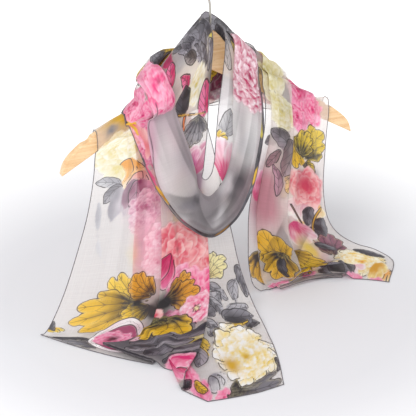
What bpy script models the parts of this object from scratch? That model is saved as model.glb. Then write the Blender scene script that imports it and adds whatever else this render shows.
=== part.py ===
"""Chiffon scarf wound on a wooden hanger.

One hemmed panel of chiffon, about half a metre wide, is pleated together and wound on a flat
wooden hanger. Its left end hangs over the left arm. From there it passes behind the neck, comes
over the right side, hangs in a loop at the front, goes back over the left side, passes behind the
neck a second time and comes forward over the right arm, where its right end hangs. Both ends
reach down to the surface under the hanger and lie on it.

Tables are in millimetres: x runs along the hanger to the right, y to the back, z up, and their
heights are measured from the peak of the board. The part's own origin is under the arc of the
hook, where it hangs, so everything is lowered by HOOK_RISE when the meshes are made.
"""

from collections import namedtuple
import math

import bmesh
import bpy
import numpy as np

MM = 0.001

# --- The hanger -----------------------------------------------------------------------------
HOOK_RISE = 95.0  # from the peak of the board to the underside of the hook's arc
HOOK_WIRE = 3.3  # diameter
HOOK_ARC = 20.0  # radius of the arc at the wire's middle
HOOK_BORE = 4.0  # the hole that the wire stands in
HOOK_SEATED = 14.0  # depth of the wire in the board
HALF_SPAN = 220.0
BOARD_THICK = 12.0
BOARD_EDGE = 2.0  # rounding of the board's long edges
BOARD_DEPTH = 56.0  # height of the board at its middle
TIP_DROP = 181.0  # how far the tips lie below the peak
# The top edge of an arm, from the peak outwards: distance from the middle, height.
ARM_TOP = ((0, 0), (8, -4), (17, -15), (30, -30), (60, -60), (88, -84), (116, -102), (149, -117), (168, -126))
# The strap notch and the rounded tip beyond it.
ARM_NOTCH = ((176, -130), (178.5, -134.5), (182, -137), (187, -138.5), (190.5, -140))
ARM_TIP = ((198, -146), (208, -155), (216, -166), (220, -179))

# --- The cloth ------------------------------------------------------------------------------
WALL = 1.1
SEAM_GAP = 0.6  # at the middle of the wall; its two faces come to about half of that on a bend
FLOOR = -410.0  # the surface under the hanger
ON_FLOOR = FLOOR + 1.0  # middle of a cloth wall that lies on it
TURN_RADIUS = 5.0  # a fold is never rounded wider than this
EASE = 8.0  # how far from a hidden fold the cloth over it starts to rise
ROW_STEP = 24.0  # between two rows of the mesh
STRAIGHTEN = 0.4  # how much of a section's mean heading goes into the heading at each point

# The width is pleated into five panels, by four folds. PANEL_RANK is each panel's place in the
# stack, counted from the lowest; the panels run alternately inwards and outwards.
PANEL_RANK = (2, 3, 4, 1, 0)
PANEL_CELLS = (4, 2, 3, 3, 4)
TURN_CELLS = 3

# A section across the cloth. outer and inner are its lower layer's two edges; folds are the places
# of the four folds, as shares of the way from the outer edge to the inner one; pitch is the space
# from one layer to the next; bulge is how far the middle stands out; bow is how far the middle runs
# ahead along the cloth, and ahead adds to that at the outer edge, the four folds, two places on the
# last panel and the inner edge; rest is 1 where the section follows the top of an arm.
FIELDS = "outer inner folds pitch bulge bow ahead rest"
Section = namedtuple("Section", FIELDS, defaults=(2.2, 0, 0, (0,) * 8, 0))
AHEAD_AT = (0, 1, 2, 3, 4, 4.25, 4.75, 5)  # the places of ahead's numbers, counted in panels


def smooth_path(points, step):
    """Points about step apart on a smooth curve through points."""
    points = np.array(points, float)
    knots = np.concatenate([[0], np.cumsum(np.linalg.norm(np.diff(points, axis=0), axis=1))])
    count = max(2, int(math.ceil(knots[-1] / step)))
    return through(knots, points, np.linspace(0, knots[-1], count + 1))


def through(knots, values, at):
    """A smooth curve through values at knots, read at the places at."""
    span = np.diff(knots)[:, None]
    flat = values.reshape(len(values), -1)
    slope = np.diff(flat, axis=0) / span
    middle = (slope[:-1] * span[1:] + slope[1:] * span[:-1]) / (span[1:] + span[:-1])
    tangent = np.concatenate([slope[:1], middle, slope[-1:]])
    cell = np.clip(np.searchsorted(knots, at, side="right") - 1, 0, len(knots) - 2)
    long = span[cell]
    u = ((at - knots[cell])[:, None]) / long
    curve = (
        (2 * u**3 - 3 * u**2 + 1) * flat[cell]
        + (u**3 - 2 * u**2 + u) * long * tangent[cell]
        + (3 * u**2 - 2 * u**3) * flat[cell + 1]
        + (u**3 - u**2) * long * tangent[cell + 1]
    )
    return curve.reshape(len(at), *values.shape[1:])


ARM_CURVE = smooth_path(ARM_TOP, 4)


def arm_top(x):
    """Height of the board's top edge."""
    return np.interp(np.abs(x), ARM_CURVE[:, 0], ARM_CURVE[:, 1])


# --- Sections of the wound cloth ------------------------------------------------------------
# Across the top of an arm: distance from the board's middle plane and height over its top edge.
OVER_ARM = ((-9.8, -17), (-9.2, -6), (-6.5, 1.8), (0, 3.2), (6.5, 1.8), (9.2, -6), (9.8, -17))
FRONT_SPREAD = 9.0  # lift by this much and the front stands twice as far from the board


def over_arm(outer_x, inner_x, folds, pitch, lift=(0, 0), bulge=0, drift=0, behind=(0, 0)):
    """The sections where the cloth lies over an arm, from front to back.

    lift raises the outer and the inner edge over the arm. behind is how much further back they stand
    on their way down the back, and drift how far the outer edge moves towards the middle there.
    """
    deepest = OVER_ARM[-1][0]
    sections = []
    for y, rise in OVER_ARM:
        back = max(y, 0) / deepest
        ends = []
        for x, up, further in ((outer_x + drift * back, lift[0], behind[0]), (inner_x, lift[1], behind[1])):
            deep = y * (1 + up / FRONT_SPREAD) if y < 0 else y + further * back
            ends.append((x, deep, arm_top(x) + rise + up))
        sections.append(Section(*ends, folds, pitch, bulge, rest=1))
    return sections


LEFT_FOLDS = (0.60, 0.52, 0.84, 0.35)
LEFT_HEM = (0, -12, -24, -3, 38, 56, 22, 0)
OVER_HEM = (0, -8, -16, -3, -2, 20, 12, 0)
LEFT_END = [  # from its hem upwards
    Section((-266, -22, ON_FLOOR), (-4, -270, ON_FLOOR), (0.48, 0.27, 0.62, 0.60), 5, 0, 30, LEFT_HEM),
    Section((-263, -30, ON_FLOOR + 5), (17, -206, ON_FLOOR), (0.52, 0.36, 0.66, 0.52), 4.5, 0, 24, OVER_HEM),
    Section((-255, -34, -391), (32, -134, ON_FLOOR + 2), (0.56, 0.45, 0.71, 0.40), 4, 4, 12),
    Section((-242, -34, -366), (31, -86, -385), (0.58, 0.49, 0.76, 0.37), 3.5, 12),
    Section((-229, -32, -338), (24, -60, -347), (0.60, 0.51, 0.80, 0.36), 3, 12),
    Section((-209, -27, -288), (16, -44, -292), (0.60, 0.52, 0.83, 0.35), 2.5, 4),
    Section((-191, -20, -240), (8, -32, -240), (0.60, 0.52, 0.84, 0.35)),
    Section((-178, -13, -190), (0, -22, -185), LEFT_FOLDS, 2),
    Section((-173, -11, -152), (-14, -14, -120), LEFT_FOLDS, 2),
]
LEFT_ARM = over_arm(-169, -33, LEFT_FOLDS, 1.8)[:6]

BACK_FOLDS = (0.72, 0.22, 0.78, 0.20)
BACK_INNER = [
    Section((-122, 11, -143), (-24, 11, -46), (0.68, 0.32, 0.80, 0.25), 1.8),
    Section((-56, 11, -124), (-13, 11, -36), BACK_FOLDS, 1.8),
    Section((0, 11.5, -114), (-1, 11, -26), BACK_FOLDS, 1.8),
    Section((42, 13, -102), (8, 12, -20), BACK_FOLDS, 1.8),
]
RIGHT_SHOULDER = over_arm(64, 13, (0.66, 0.08, 0.76, 0.20), 2.2, lift=(11, 12), behind=(4, 4))[::-1]

LOOP_RIGHT = [
    Section((70, -22, -105), (13, -14, -62), (0.66, 0.06, 0.76, 0.20)),
    Section((69, -30, -146), (4, -20, -112), (0.60, 0.08, 0.70, 0.20)),
    Section((60, -38, -187), (-2, -26, -154), (0.55, 0.10, 0.64, 0.20)),
    Section((41, -50, -233), (-7, -32, -184), (0.58, 0.08, 0.68, 0.20)),
    Section((10, -60, -268), (-14, -37, -199), (0.62, 0.06, 0.72, 0.20)),
]
LOOP_BOTTOM = [Section((-25, -64, -282), (-22, -40, -204), (0.62, 0.06, 0.72, 0.20))]
LOOP_LEFT = [
    Section((-58, -58, -262), (-27, -38, -201), (0.66, 0.05, 0.76, 0.20)),
    Section((-89, -46, -220), (-24, -34, -190), (0.70, 0.05, 0.80, 0.20)),
    Section((-105, -36, -184), (-19, -29, -164), (0.64, 0.09, 0.74, 0.20)),
    Section((-116, -28, -150), (-14, -25, -130), (0.55, 0.14, 0.65, 0.20)),
    Section((-126, -22, -118), (-11, -21, -90), (0.50, 0.20, 0.57, 0.22)),
]
SHOULDER_FOLDS = (0.48, 0.31, 0.53, 0.25)
LEFT_SHOULDER = over_arm(-130, -9, SHOULDER_FOLDS, 4.6, lift=(4, 19), bulge=6, drift=26, behind=(8, 4))[1:5]

BACK_OUTER = [
    Section((-103, 21, -112), (-7, 15, 17), (0.55, 0.25, 0.60, 0.23), 4, 5),
    Section((-80, 27, -138), (-4, 17, 18), (0.66, 0.23, 0.70, 0.22), 2.8, 4),
    Section((0, 30, -124), (3, 15, 20), BACK_FOLDS, 2.5, 4),
    Section((50, 32, -128), (26, 21, 3), BACK_FOLDS, 2.5),
    Section((112, 26, -142), (54, 24, -28), (0.73, 0.40, 0.85, 0.20), 2.2),
    Section((176, 12, -146), (76, 18, -46), (0.73, 0.57, 0.91, 0.23), 1.8),
]
RIGHT_FOLDS = (0.73, 0.60, 0.92, 0.24)
RIGHT_ARM = over_arm(181, 73, RIGHT_FOLDS, 1.7, lift=(-1, 5))[4::-1]
RIGHT_HEM = (0, -8, -10, -18, 0, 0, 0, 0)
RIGHT_END = [  # down to its hem
    Section((178, -11, -165), (77, -14, -100), RIGHT_FOLDS, 2),
    Section((175, -12, -215), (76, -18, -150), (0.73, 0.57, 0.92, 0.18)),
    Section((174, -14, -262), (62, -22, -212), (0.73, 0.55, 0.92, 0.10)),
    Section((183, -12, -308), (51, -25, -268), (0.73, 0.55, 0.92, 0.10)),
    Section((212, 6, -350), (49, -27, -320), (0.73, 0.58, 0.92, 0.17), 3),
    Section((252, 20, -382), (51, -27, -362), (0.73, 0.60, 0.92, 0.25), 3.5),
    Section((291, 22, -402), (60, -26, -395), (0.73, 0.62, 0.92, 0.30), 4, 0, 10),
    Section((304, 0, ON_FLOOR), (74, -20, ON_FLOOR), (0.73, 0.64, 0.92, 0.35), 4.5, 0, 15),
    Section((264, -66, ON_FLOOR), (88, -20, ON_FLOOR), (0.73, 0.65, 0.92, 0.38), 5, 0, 25, RIGHT_HEM),
]

# Each stretch that shows, from one end of the cloth to the other. Neighbours share a section.
ROUTE = (
    ("scarf_left_end", LEFT_END + LEFT_ARM),
    ("scarf_back_pass_inner", BACK_INNER),
    ("scarf_loop_right", RIGHT_SHOULDER + LOOP_RIGHT),
    ("scarf_loop_left", LOOP_BOTTOM + LOOP_LEFT + LEFT_SHOULDER + BACK_OUTER[:1]),
    ("scarf_back_pass_outer", BACK_OUTER[1:4]),
    ("scarf_right_end", BACK_OUTER[4:] + RIGHT_ARM + RIGHT_END),
)


def ease(share):
    share = np.clip(share, 0, 1)
    return share * share * (3 - 2 * share)


def layer_height(rank, places, panels, margin):
    """How many layers lie under a panel at these places across the cloth."""
    under = np.zeros_like(places)
    for other, (low, high) in enumerate(panels):
        if PANEL_RANK[other] < rank:
            under += ease((places - low) / margin + 1) * ease((high - places) / margin + 1)
    return under


def pleated(folds, width, pitch):
    """One row across the pleated cloth: each column's place across, height and panel share."""
    stops = np.array([0, *folds, 1.0])
    panels = [tuple(sorted(stops[k : k + 2])) for k in range(5)]
    margin = EASE / width

    def height(panel, place):
        return pitch * layer_height(PANEL_RANK[panel], np.atleast_1d(place), panels, margin)

    turns = []
    for fold in range(1, 5):
        heading = 1 if stops[fold] > stops[fold - 1] else -1
        low, high = height(fold - 1, stops[fold])[0], height(fold, stops[fold])[0]
        turns.append((heading * min(abs(high - low) / 2, TURN_RADIUS) / width, low, high))
    place, rise, share = [], [], []
    for panel in range(5):
        start = stops[panel] - (turns[panel - 1][0] if panel else 0)
        end = stops[panel + 1] - (turns[panel][0] if panel < 4 else 0)
        across = np.linspace(start, end, PANEL_CELLS[panel] + 1)
        place.extend(across)
        rise.extend(height(panel, across))
        share.extend(panel + np.linspace(0, 1, len(across)))
        if panel < 4:
            reach, low, high = turns[panel]
            angle = np.linspace(-math.pi / 2, math.pi / 2, TURN_CELLS + 1)[1:-1]
            place.extend(end + reach * np.cos(angle))
            rise.extend((low + high) / 2 + (high - low) / 2 * np.sin(angle))
            share.extend([panel + 1.0] * len(angle))
    return np.array(place), np.array(rise), np.array(share)


def unit(vectors):
    return vectors / np.maximum(np.linalg.norm(vectors, axis=-1, keepdims=True), 1e-9)


def cloth_surface():
    """The middle surface of the whole cloth as rows of points, and the row at each section."""
    sections = [section for _, stretch in ROUTE for section in stretch]
    edges = np.array([(s.outer, s.inner) for s in sections], float)
    numbers = np.array([(*s.folds, s.pitch, s.bulge, s.bow, s.rest, *s.ahead) for s in sections], float)
    steps = np.linalg.norm(np.diff(edges, axis=0), axis=2).mean(1)
    knots = np.concatenate([[0], np.cumsum(steps)])
    rows, section_row = [0.0], [0]
    for start, step in zip(knots, steps):
        cells = max(1, round(step / ROW_STEP))
        rows.extend(start + step * (i + 1) / cells for i in range(cells))
        section_row.append(len(rows) - 1)
    rows = np.array(rows)
    edge = through(knots, edges, rows)
    travel = through(knots, edges, rows + 0.5) - through(knots, edges, rows - 0.5)
    number = through(knots, numbers, rows)
    surface = []
    for (outer, inner), (go_outer, go_inner), row in zip(edge, travel, number):
        folds, pitch, bulge, bow, rest, ahead = row[:4], *row[4:8], row[8:]
        width = np.linalg.norm(inner - outer)
        place, rise, share = pleated(folds, width, pitch)
        place, rise, share = place[:, None], rise[:, None], share[:, None]
        points = outer + place * (inner - outer)
        go = unit(go_outer * (1 - place) + go_inner * place) + STRAIGHTEN * unit(go_outer + go_inner)
        out = unit(np.cross(inner - outer, go))
        arch = 4 * place * (1 - place)
        lead = np.interp(share[:, 0], AHEAD_AT, ahead)[:, None] + bow * arch
        chord = arm_top(outer[0]) + place * (arm_top(inner[0]) - arm_top(outer[0]))
        drop = rest * (arm_top(points[:, :1]) - chord)
        level = unit((go_outer + go_inner) * (1, 1, 0))
        points = points + out * (rise + bulge * arch) - level * lead
        points[:, 2:] += drop
        points[:, 2] = np.maximum(points[:, 2], ON_FLOOR)
        surface.append(points)
    return np.array(surface), section_row


def material(name, colour, roughness, metallic=0.0):
    made = bpy.data.materials.new(name)
    made.use_nodes = True
    shader = made.node_tree.nodes["Principled BSDF"]
    shader.inputs["Base Color"].default_value = (*colour, 1)
    shader.inputs["Roughness"].default_value = roughness
    shader.inputs["Metallic"].default_value = metallic
    return made


def add_object(name, mesh_or_curve, made_of):
    made = bpy.data.objects.new(name, mesh_or_curve)
    bpy.context.scene.collection.objects.link(made)
    made.data.materials.append(made_of)
    return made


def placed(points):
    """From the tables' millimetres over the peak to metres under the hook."""
    return (np.asarray(points, float) - (0, 0, HOOK_RISE)) * MM


def mesh_of(name, points, faces):
    mesh = bpy.data.meshes.new(name)
    mesh.from_pydata([tuple(p) for p in placed(points)], [], faces)
    mesh.validate()
    mesh.shade_smooth()
    return mesh


def scarf_stretch(name, grid, made_of):
    """One stretch of the cloth: its rows of points, given the wall's thickness."""
    rows, columns = grid.shape[:2]
    faces = []
    for i in range(rows - 1):
        for j in range(columns - 1):
            at = i * columns + j
            faces.append((at, at + 1, at + columns + 1, at + columns))
    made = add_object(name, mesh_of(name, grid.reshape(-1, 3), faces), made_of)
    wall = made.modifiers.new("wall", "SOLIDIFY")
    wall.thickness = WALL * MM
    wall.offset = 0
    wall.use_quality_normals = True
    return made


def build_scarf():
    chiffon = material("chiffon", (0.83, 0.72, 0.72), 0.7)
    surface, section_row = cloth_surface()
    first = 0
    for number, (name, stretch) in enumerate(ROUTE):
        last = first + len(stretch) - (number == len(ROUTE) - 1)
        grid = surface[section_row[first] : section_row[last] + 1].copy()
        if number:
            grid[0] += unit(grid[1] - grid[0]) * SEAM_GAP / 2
        if number < len(ROUTE) - 1:
            grid[-1] -= unit(grid[-1] - grid[-2]) * SEAM_GAP / 2
        scarf_stretch(name, grid, chiffon)
        first = last


def board_outline():
    top = [tuple(p) for p in smooth_path(ARM_TOP, 8)]
    notch = [tuple(p) for p in smooth_path(ARM_NOTCH, 3)]
    tip = [tuple(p) for p in smooth_path(ARM_NOTCH[-1:] + ARM_TIP, 6)][1:]
    half = top + notch + tip + [(HALF_SPAN, -TIP_DROP), (0, -BOARD_DEPTH)]
    return half + [(-x, z) for x, z in reversed(half[1:-1])]


def build_board():
    beech = material("beech", (0.69, 0.42, 0.20), 0.55)
    made = add_object("hanger_board", bpy.data.meshes.new("hanger_board"), beech)
    shape = bmesh.new()
    front = [shape.verts.new(placed((x, -BOARD_THICK / 2, z))) for x, z in board_outline()]
    face = shape.faces.new(front)
    back = bmesh.ops.extrude_face_region(shape, geom=[face])["geom"]
    moved = [v for v in back if isinstance(v, bmesh.types.BMVert)]
    bmesh.ops.translate(shape, verts=moved, vec=(0, BOARD_THICK * MM, 0))
    bmesh.ops.recalc_face_normals(shape, faces=shape.faces[:])
    shape.to_mesh(made.data)
    shape.free()
    rounding = made.modifiers.new("rounded edges", "BEVEL")
    rounding.width = BOARD_EDGE * MM
    rounding.segments = 2
    rounding.limit_method = "ANGLE"
    rounding.angle_limit = math.radians(60)
    bore = made.modifiers.new("bore for the hook", "BOOLEAN")
    bore.operation = "DIFFERENCE"
    bore.object = bore_cutter()
    return made


def bore_cutter():
    mesh = bpy.data.meshes.new("hook_bore")
    shape = bmesh.new()
    radius, long = HOOK_BORE / 2 * MM, (HOOK_SEATED + 6) * MM
    bmesh.ops.create_cone(shape, cap_ends=True, segments=16, radius1=radius, radius2=radius, depth=long)
    shape.to_mesh(mesh)
    shape.free()
    cutter = bpy.data.objects.new("hook_bore", mesh)
    bpy.context.scene.collection.objects.link(cutter)
    cutter.location = placed((0, 0, -HOOK_SEATED - 0.3)) + np.array((0, 0, long / 2))
    cutter.hide_render = True
    cutter.display_type = "WIRE"
    return cutter


def hook_line():
    """The middle of the wire: a straight stem that leans into a round arc."""
    middle = HOOK_RISE + HOOK_WIRE / 2 - HOOK_ARC
    line = [(0, 0, -HOOK_SEATED), (0, 0, 0), (0, 0, 20), (-0.8, 0, 38), (-5, 0, 53)]
    for degrees in range(200, -31, -18):
        angle = math.radians(degrees)
        line.append((HOOK_ARC * math.cos(angle), 0, middle + HOOK_ARC * math.sin(angle)))
    return smooth_path(line, 5)


def build_hook():
    steel = material("plated_steel", (0.45, 0.43, 0.40), 0.35, 1.0)
    curve = bpy.data.curves.new("hanger_hook", "CURVE")
    curve.dimensions = "3D"
    curve.bevel_depth = HOOK_WIRE / 2 * MM
    curve.bevel_resolution = 2
    curve.use_fill_caps = True
    line = placed(hook_line())
    spline = curve.splines.new("POLY")
    spline.points.add(len(line) - 1)
    for point, place in zip(spline.points, line):
        point.co = (*place, 1)
    return add_object("hanger_hook", curve, steel)


def clear_scene():
    for old in list(bpy.data.objects):
        bpy.data.objects.remove(old, do_unlink=True)


def main():
    clear_scene()
    build_board()
    build_hook()
    build_scarf()


main()
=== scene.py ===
"""The looks of a printed chiffon scarf wound on a beech hanger.

The scarf is one panel of sheer polyester chiffon with narrow rolled hems, pleated together along its
length. From its left end it goes over the left arm of the hanger, behind the neck, down over the
right side into a loop at the front, back over the left side, behind the neck again, and forward over
the right arm to its right end. Each stretch is a thin shell of its own and takes the place of that
stretch's solid. The print is painted on the flat cloth, flower by flower and leaf by leaf, and painted
shade and painted highlights are laid into the same colours: along the creases, round the loop's folds
and in the curl at the left end's hem.

Tables are in millimetres. Sections of the cloth are measured from the peak of the hanger's board:
x to the right, y to the back, z up. Places on the flat cloth are (across, along): across from the
outer hem to the inner hem, along from the left end's hem to the right end's.
"""

from collections import namedtuple
import math

import bpy
import numpy as np
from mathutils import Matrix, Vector


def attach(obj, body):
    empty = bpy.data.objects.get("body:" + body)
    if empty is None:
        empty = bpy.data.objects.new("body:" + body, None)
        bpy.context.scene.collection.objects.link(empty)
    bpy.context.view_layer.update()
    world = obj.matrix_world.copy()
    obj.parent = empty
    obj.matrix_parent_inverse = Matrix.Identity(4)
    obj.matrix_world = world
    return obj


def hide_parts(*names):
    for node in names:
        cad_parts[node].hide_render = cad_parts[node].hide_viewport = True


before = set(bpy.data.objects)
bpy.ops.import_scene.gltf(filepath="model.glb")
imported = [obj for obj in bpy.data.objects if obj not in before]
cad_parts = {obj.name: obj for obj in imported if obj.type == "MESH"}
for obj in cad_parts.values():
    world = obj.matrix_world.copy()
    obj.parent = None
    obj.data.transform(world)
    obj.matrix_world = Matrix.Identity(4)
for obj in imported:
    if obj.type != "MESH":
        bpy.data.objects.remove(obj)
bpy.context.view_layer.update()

MM = 0.001

# --- The cloth's form -----------------------------------------------------------------------
PEAK_DROP = 95.0  # from the underside of the hook's arc to the peak of the board
FLOOR = -410.0  # the surface under the hanger, under the peak
ON_FLOOR = FLOOR + 1.0
CUT_WIDTH = 520.0  # the panel's width, hem to hem
TURN_RADIUS = 5.0  # a fold is never rounded wider than this
EASE = 3.6  # how far from a hidden fold the cloth over it starts to rise, for each millimetre it rises
ROW_STEP = 1.7  # between two rows of the mesh
STRAIGHTEN = 0.4  # how much of a section's mean heading goes into the heading at each point
NEAR_ARM = (24.0, 22.0)  # this near an arm's middle plane, and down to this far under its top edge,
ARM_CALM = 0.9  # the creases lose this much of their height

# The width is pleated into five panels, by four folds. PANEL_RANK is each panel's place in the
# stack, counted from the lowest; the panels run alternately inwards and outwards.
PANEL_RANK = (2, 3, 4, 1, 0)
PANEL_CELLS = (78, 34, 48, 58, 68)  # the mesh's cells across each panel
TURN_CELLS = 8  # and round each fold

# The board's top edge, from its peak out to the end of an arm: (x, z).
ARM_TOP = (
    (0, 0), (8, -4), (17, -15), (30, -30), (60, -60), (88, -84), (116, -102), (149, -117), (168, -126),
)

# A section across the cloth. outer and inner are its lower layer's two edges; folds are the places
# of the four folds, as shares of the way from the outer edge to the inner one; pitch is the space
# from one layer to the next; bulge is how far the middle stands out; bow is how far the middle runs
# ahead along the cloth, and ahead adds to that at the outer edge, the four folds, two places on the
# last panel and the inner edge; rest is 1 where the section follows the top of an arm.
FIELDS = "outer inner folds pitch bulge bow ahead rest"
Section = namedtuple("Section", FIELDS, defaults=(2.2, 0, 0, (0,) * 8, 0))
AHEAD_AT = (0, 1, 2, 3, 4, 4.25, 4.75, 5)  # the places of ahead's numbers, counted in panels


def through(knots, values, at):
    """A smooth curve through values at knots, read at the places at."""
    span = np.diff(knots)[:, None]
    flat = values.reshape(len(values), -1)
    slope = np.diff(flat, axis=0) / span
    middle = (slope[:-1] * span[1:] + slope[1:] * span[:-1]) / (span[1:] + span[:-1])
    tangent = np.concatenate([slope[:1], middle, slope[-1:]])
    cell = np.clip(np.searchsorted(knots, at, side="right") - 1, 0, len(knots) - 2)
    long = span[cell]
    u = ((at - knots[cell])[:, None]) / long
    curve = (
        (2 * u**3 - 3 * u**2 + 1) * flat[cell]
        + (u**3 - 2 * u**2 + u) * long * tangent[cell]
        + (3 * u**2 - 2 * u**3) * flat[cell + 1]
        + (u**3 - u**2) * long * tangent[cell + 1]
    )
    return curve.reshape(len(at), *values.shape[1:])


def smooth_path(points, step):
    """Points about step apart on a smooth curve through points."""
    points = np.array(points, float)
    knots = np.concatenate([[0], np.cumsum(np.linalg.norm(np.diff(points, axis=0), axis=1))])
    count = max(2, int(math.ceil(knots[-1] / step)))
    return through(knots, points, np.linspace(0, knots[-1], count + 1))


ARM_CURVE = smooth_path(ARM_TOP, 4)


def arm_top(x):
    """Height of the board's top edge."""
    return np.interp(np.abs(x), ARM_CURVE[:, 0], ARM_CURVE[:, 1])


# Across the top of an arm: distance from the board's middle plane and height over its top edge.
OVER_ARM = ((-9.8, -17), (-9.2, -6), (-6.5, 1.8), (0, 3.2), (6.5, 1.8), (9.2, -6), (9.8, -17))
FRONT_SPREAD = 9.0  # lift by this much and the front stands twice as far from the board


def over_arm(outer_x, inner_x, folds, pitch, lift=(0, 0), bulge=0, drift=0, behind=(0, 0)):
    """The sections where the cloth lies over an arm, from front to back.

    lift raises the outer and the inner edge over the arm. behind is how much further back they stand
    on their way down the back, and drift how far the outer edge moves towards the middle there.
    """
    deepest = OVER_ARM[-1][0]
    sections = []
    for y, rise in OVER_ARM:
        back = max(y, 0) / deepest
        ends = []
        for x, up, further in ((outer_x + drift * back, lift[0], behind[0]), (inner_x, lift[1], behind[1])):
            deep = y * (1 + up / FRONT_SPREAD) if y < 0 else y + further * back
            ends.append((x, deep, arm_top(x) + rise + up))
        sections.append(Section(*ends, folds, pitch, bulge, rest=1))
    return sections


LEFT_FOLDS = (0.60, 0.52, 0.84, 0.35)
LEFT_HEM = (0, -12, -24, -3, 38, 56, 22, 0)
OVER_HEM = (0, -8, -16, -3, -2, 20, 12, 0)
LEFT_END = [  # from its hem upwards
    Section((-266, -22, ON_FLOOR), (-4, -270, ON_FLOOR), (0.48, 0.27, 0.62, 0.60), 5, 0, 30, LEFT_HEM),
    Section((-263, -30, ON_FLOOR + 5), (17, -206, ON_FLOOR), (0.52, 0.36, 0.66, 0.52), 4.5, 0, 24, OVER_HEM),
    Section((-255, -34, -391), (32, -134, ON_FLOOR + 2), (0.56, 0.45, 0.71, 0.40), 4, 4, 12),
    Section((-242, -34, -366), (31, -86, -385), (0.58, 0.49, 0.76, 0.37), 3.5, 12),
    Section((-229, -32, -338), (24, -60, -347), (0.60, 0.51, 0.80, 0.36), 3, 12),
    Section((-209, -27, -288), (16, -44, -292), (0.60, 0.52, 0.83, 0.35), 2.5, 4),
    Section((-191, -20, -240), (8, -32, -240), (0.60, 0.52, 0.84, 0.35)),
    Section((-178, -13, -190), (0, -22, -185), LEFT_FOLDS, 2),
    Section((-173, -11, -152), (-14, -14, -120), LEFT_FOLDS, 2),
]
LEFT_ARM = over_arm(-169, -33, LEFT_FOLDS, 1.8)[:6]

BACK_FOLDS = (0.72, 0.22, 0.78, 0.20)
BACK_INNER = [
    Section((-122, 11, -143), (-24, 11, -46), (0.68, 0.32, 0.80, 0.25), 1.8),
    Section((-56, 11, -124), (-13, 11, -36), BACK_FOLDS, 1.8),
    Section((0, 11.5, -114), (-1, 11, -26), BACK_FOLDS, 1.8),
    Section((42, 13, -102), (8, 12, -20), BACK_FOLDS, 1.8),
]
RIGHT_SHOULDER = over_arm(64, 13, (0.66, 0.08, 0.76, 0.20), 2.2, lift=(11, 12), behind=(4, 4))[::-1]

LOOP_RIGHT = [
    Section((70, -22, -105), (13, -14, -62), (0.66, 0.06, 0.76, 0.20)),
    Section((69, -30, -146), (4, -20, -112), (0.60, 0.08, 0.70, 0.20)),
    Section((60, -38, -187), (-2, -26, -154), (0.55, 0.10, 0.64, 0.20)),
    Section((41, -50, -233), (-7, -32, -184), (0.58, 0.08, 0.68, 0.20)),
    Section((10, -60, -268), (-14, -37, -199), (0.62, 0.06, 0.72, 0.20)),
]
LOOP_BOTTOM = [Section((-25, -64, -282), (-22, -40, -204), (0.62, 0.06, 0.72, 0.20))]
LOOP_LEFT = [
    Section((-58, -58, -262), (-27, -38, -201), (0.66, 0.05, 0.76, 0.20)),
    Section((-89, -46, -220), (-24, -34, -190), (0.70, 0.05, 0.80, 0.20)),
    Section((-105, -36, -184), (-19, -29, -164), (0.64, 0.09, 0.74, 0.20)),
    Section((-116, -28, -150), (-14, -25, -130), (0.55, 0.14, 0.65, 0.20)),
    Section((-126, -22, -118), (-11, -21, -90), (0.50, 0.20, 0.57, 0.22)),
]
SHOULDER_FOLDS = (0.48, 0.31, 0.53, 0.25)
LEFT_SHOULDER = over_arm(-130, -9, SHOULDER_FOLDS, 4.6, lift=(4, 19), bulge=6, drift=26, behind=(8, 4))[1:5]

BACK_OUTER = [
    Section((-103, 21, -112), (-7, 15, 17), (0.55, 0.25, 0.60, 0.23), 4, 5),
    Section((-80, 27, -138), (-4, 17, 18), (0.66, 0.23, 0.70, 0.22), 2.8, 4),
    Section((0, 30, -124), (3, 15, 20), BACK_FOLDS, 2.5, 4),
    Section((50, 32, -128), (26, 21, 3), BACK_FOLDS, 2.5),
    Section((112, 26, -142), (54, 24, -28), (0.73, 0.40, 0.85, 0.20), 2.2),
    Section((176, 12, -146), (76, 18, -46), (0.73, 0.57, 0.91, 0.23), 1.8),
]
RIGHT_FOLDS = (0.73, 0.60, 0.92, 0.24)
RIGHT_ARM = over_arm(181, 73, RIGHT_FOLDS, 1.7, lift=(-1, 5))[4::-1]
RIGHT_HEM = (0, -8, -10, -18, 0, 0, 0, 0)
RIGHT_END = [  # down to its hem
    Section((178, -11, -165), (77, -14, -100), RIGHT_FOLDS, 2),
    Section((175, -12, -215), (76, -18, -150), (0.73, 0.57, 0.92, 0.18)),
    Section((174, -14, -262), (62, -22, -212), (0.73, 0.55, 0.92, 0.10)),
    Section((183, -12, -308), (51, -25, -268), (0.73, 0.55, 0.92, 0.10)),
    Section((212, 6, -350), (49, -27, -320), (0.73, 0.58, 0.92, 0.17), 3),
    Section((252, 20, -382), (51, -27, -362), (0.73, 0.60, 0.92, 0.25), 3.5),
    Section((291, 22, -402), (60, -26, -395), (0.73, 0.62, 0.92, 0.30), 4, 0, 10),
    Section((304, 0, ON_FLOOR), (74, -20, ON_FLOOR), (0.73, 0.64, 0.92, 0.35), 4.5, 0, 15),
    Section((264, -66, ON_FLOOR), (88, -20, ON_FLOOR), (0.73, 0.65, 0.92, 0.38), 5, 0, 25, RIGHT_HEM),
]

# Each stretch that shows, from one end of the cloth to the other: its name, how it is held and its
# sections up to the next stretch's first one.
Stretch = namedtuple("Stretch", "name held sections")
ROUTE = (
    Stretch("left_end", "draped", LEFT_END + LEFT_ARM),
    Stretch("back_pass_inner", "gathered", BACK_INNER),
    Stretch("loop_right", "gathered", RIGHT_SHOULDER + LOOP_RIGHT),
    Stretch("loop_left", "gathered", LOOP_BOTTOM + LOOP_LEFT + LEFT_SHOULDER + BACK_OUTER[:1]),
    Stretch("back_pass_outer", "gathered", BACK_OUTER[1:4]),
    Stretch("right_end", "draped", BACK_OUTER[4:] + RIGHT_ARM + RIGHT_END),
)


def ease(share):
    share = np.clip(share, 0, 1)
    return share * share * (3 - 2 * share)


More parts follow.
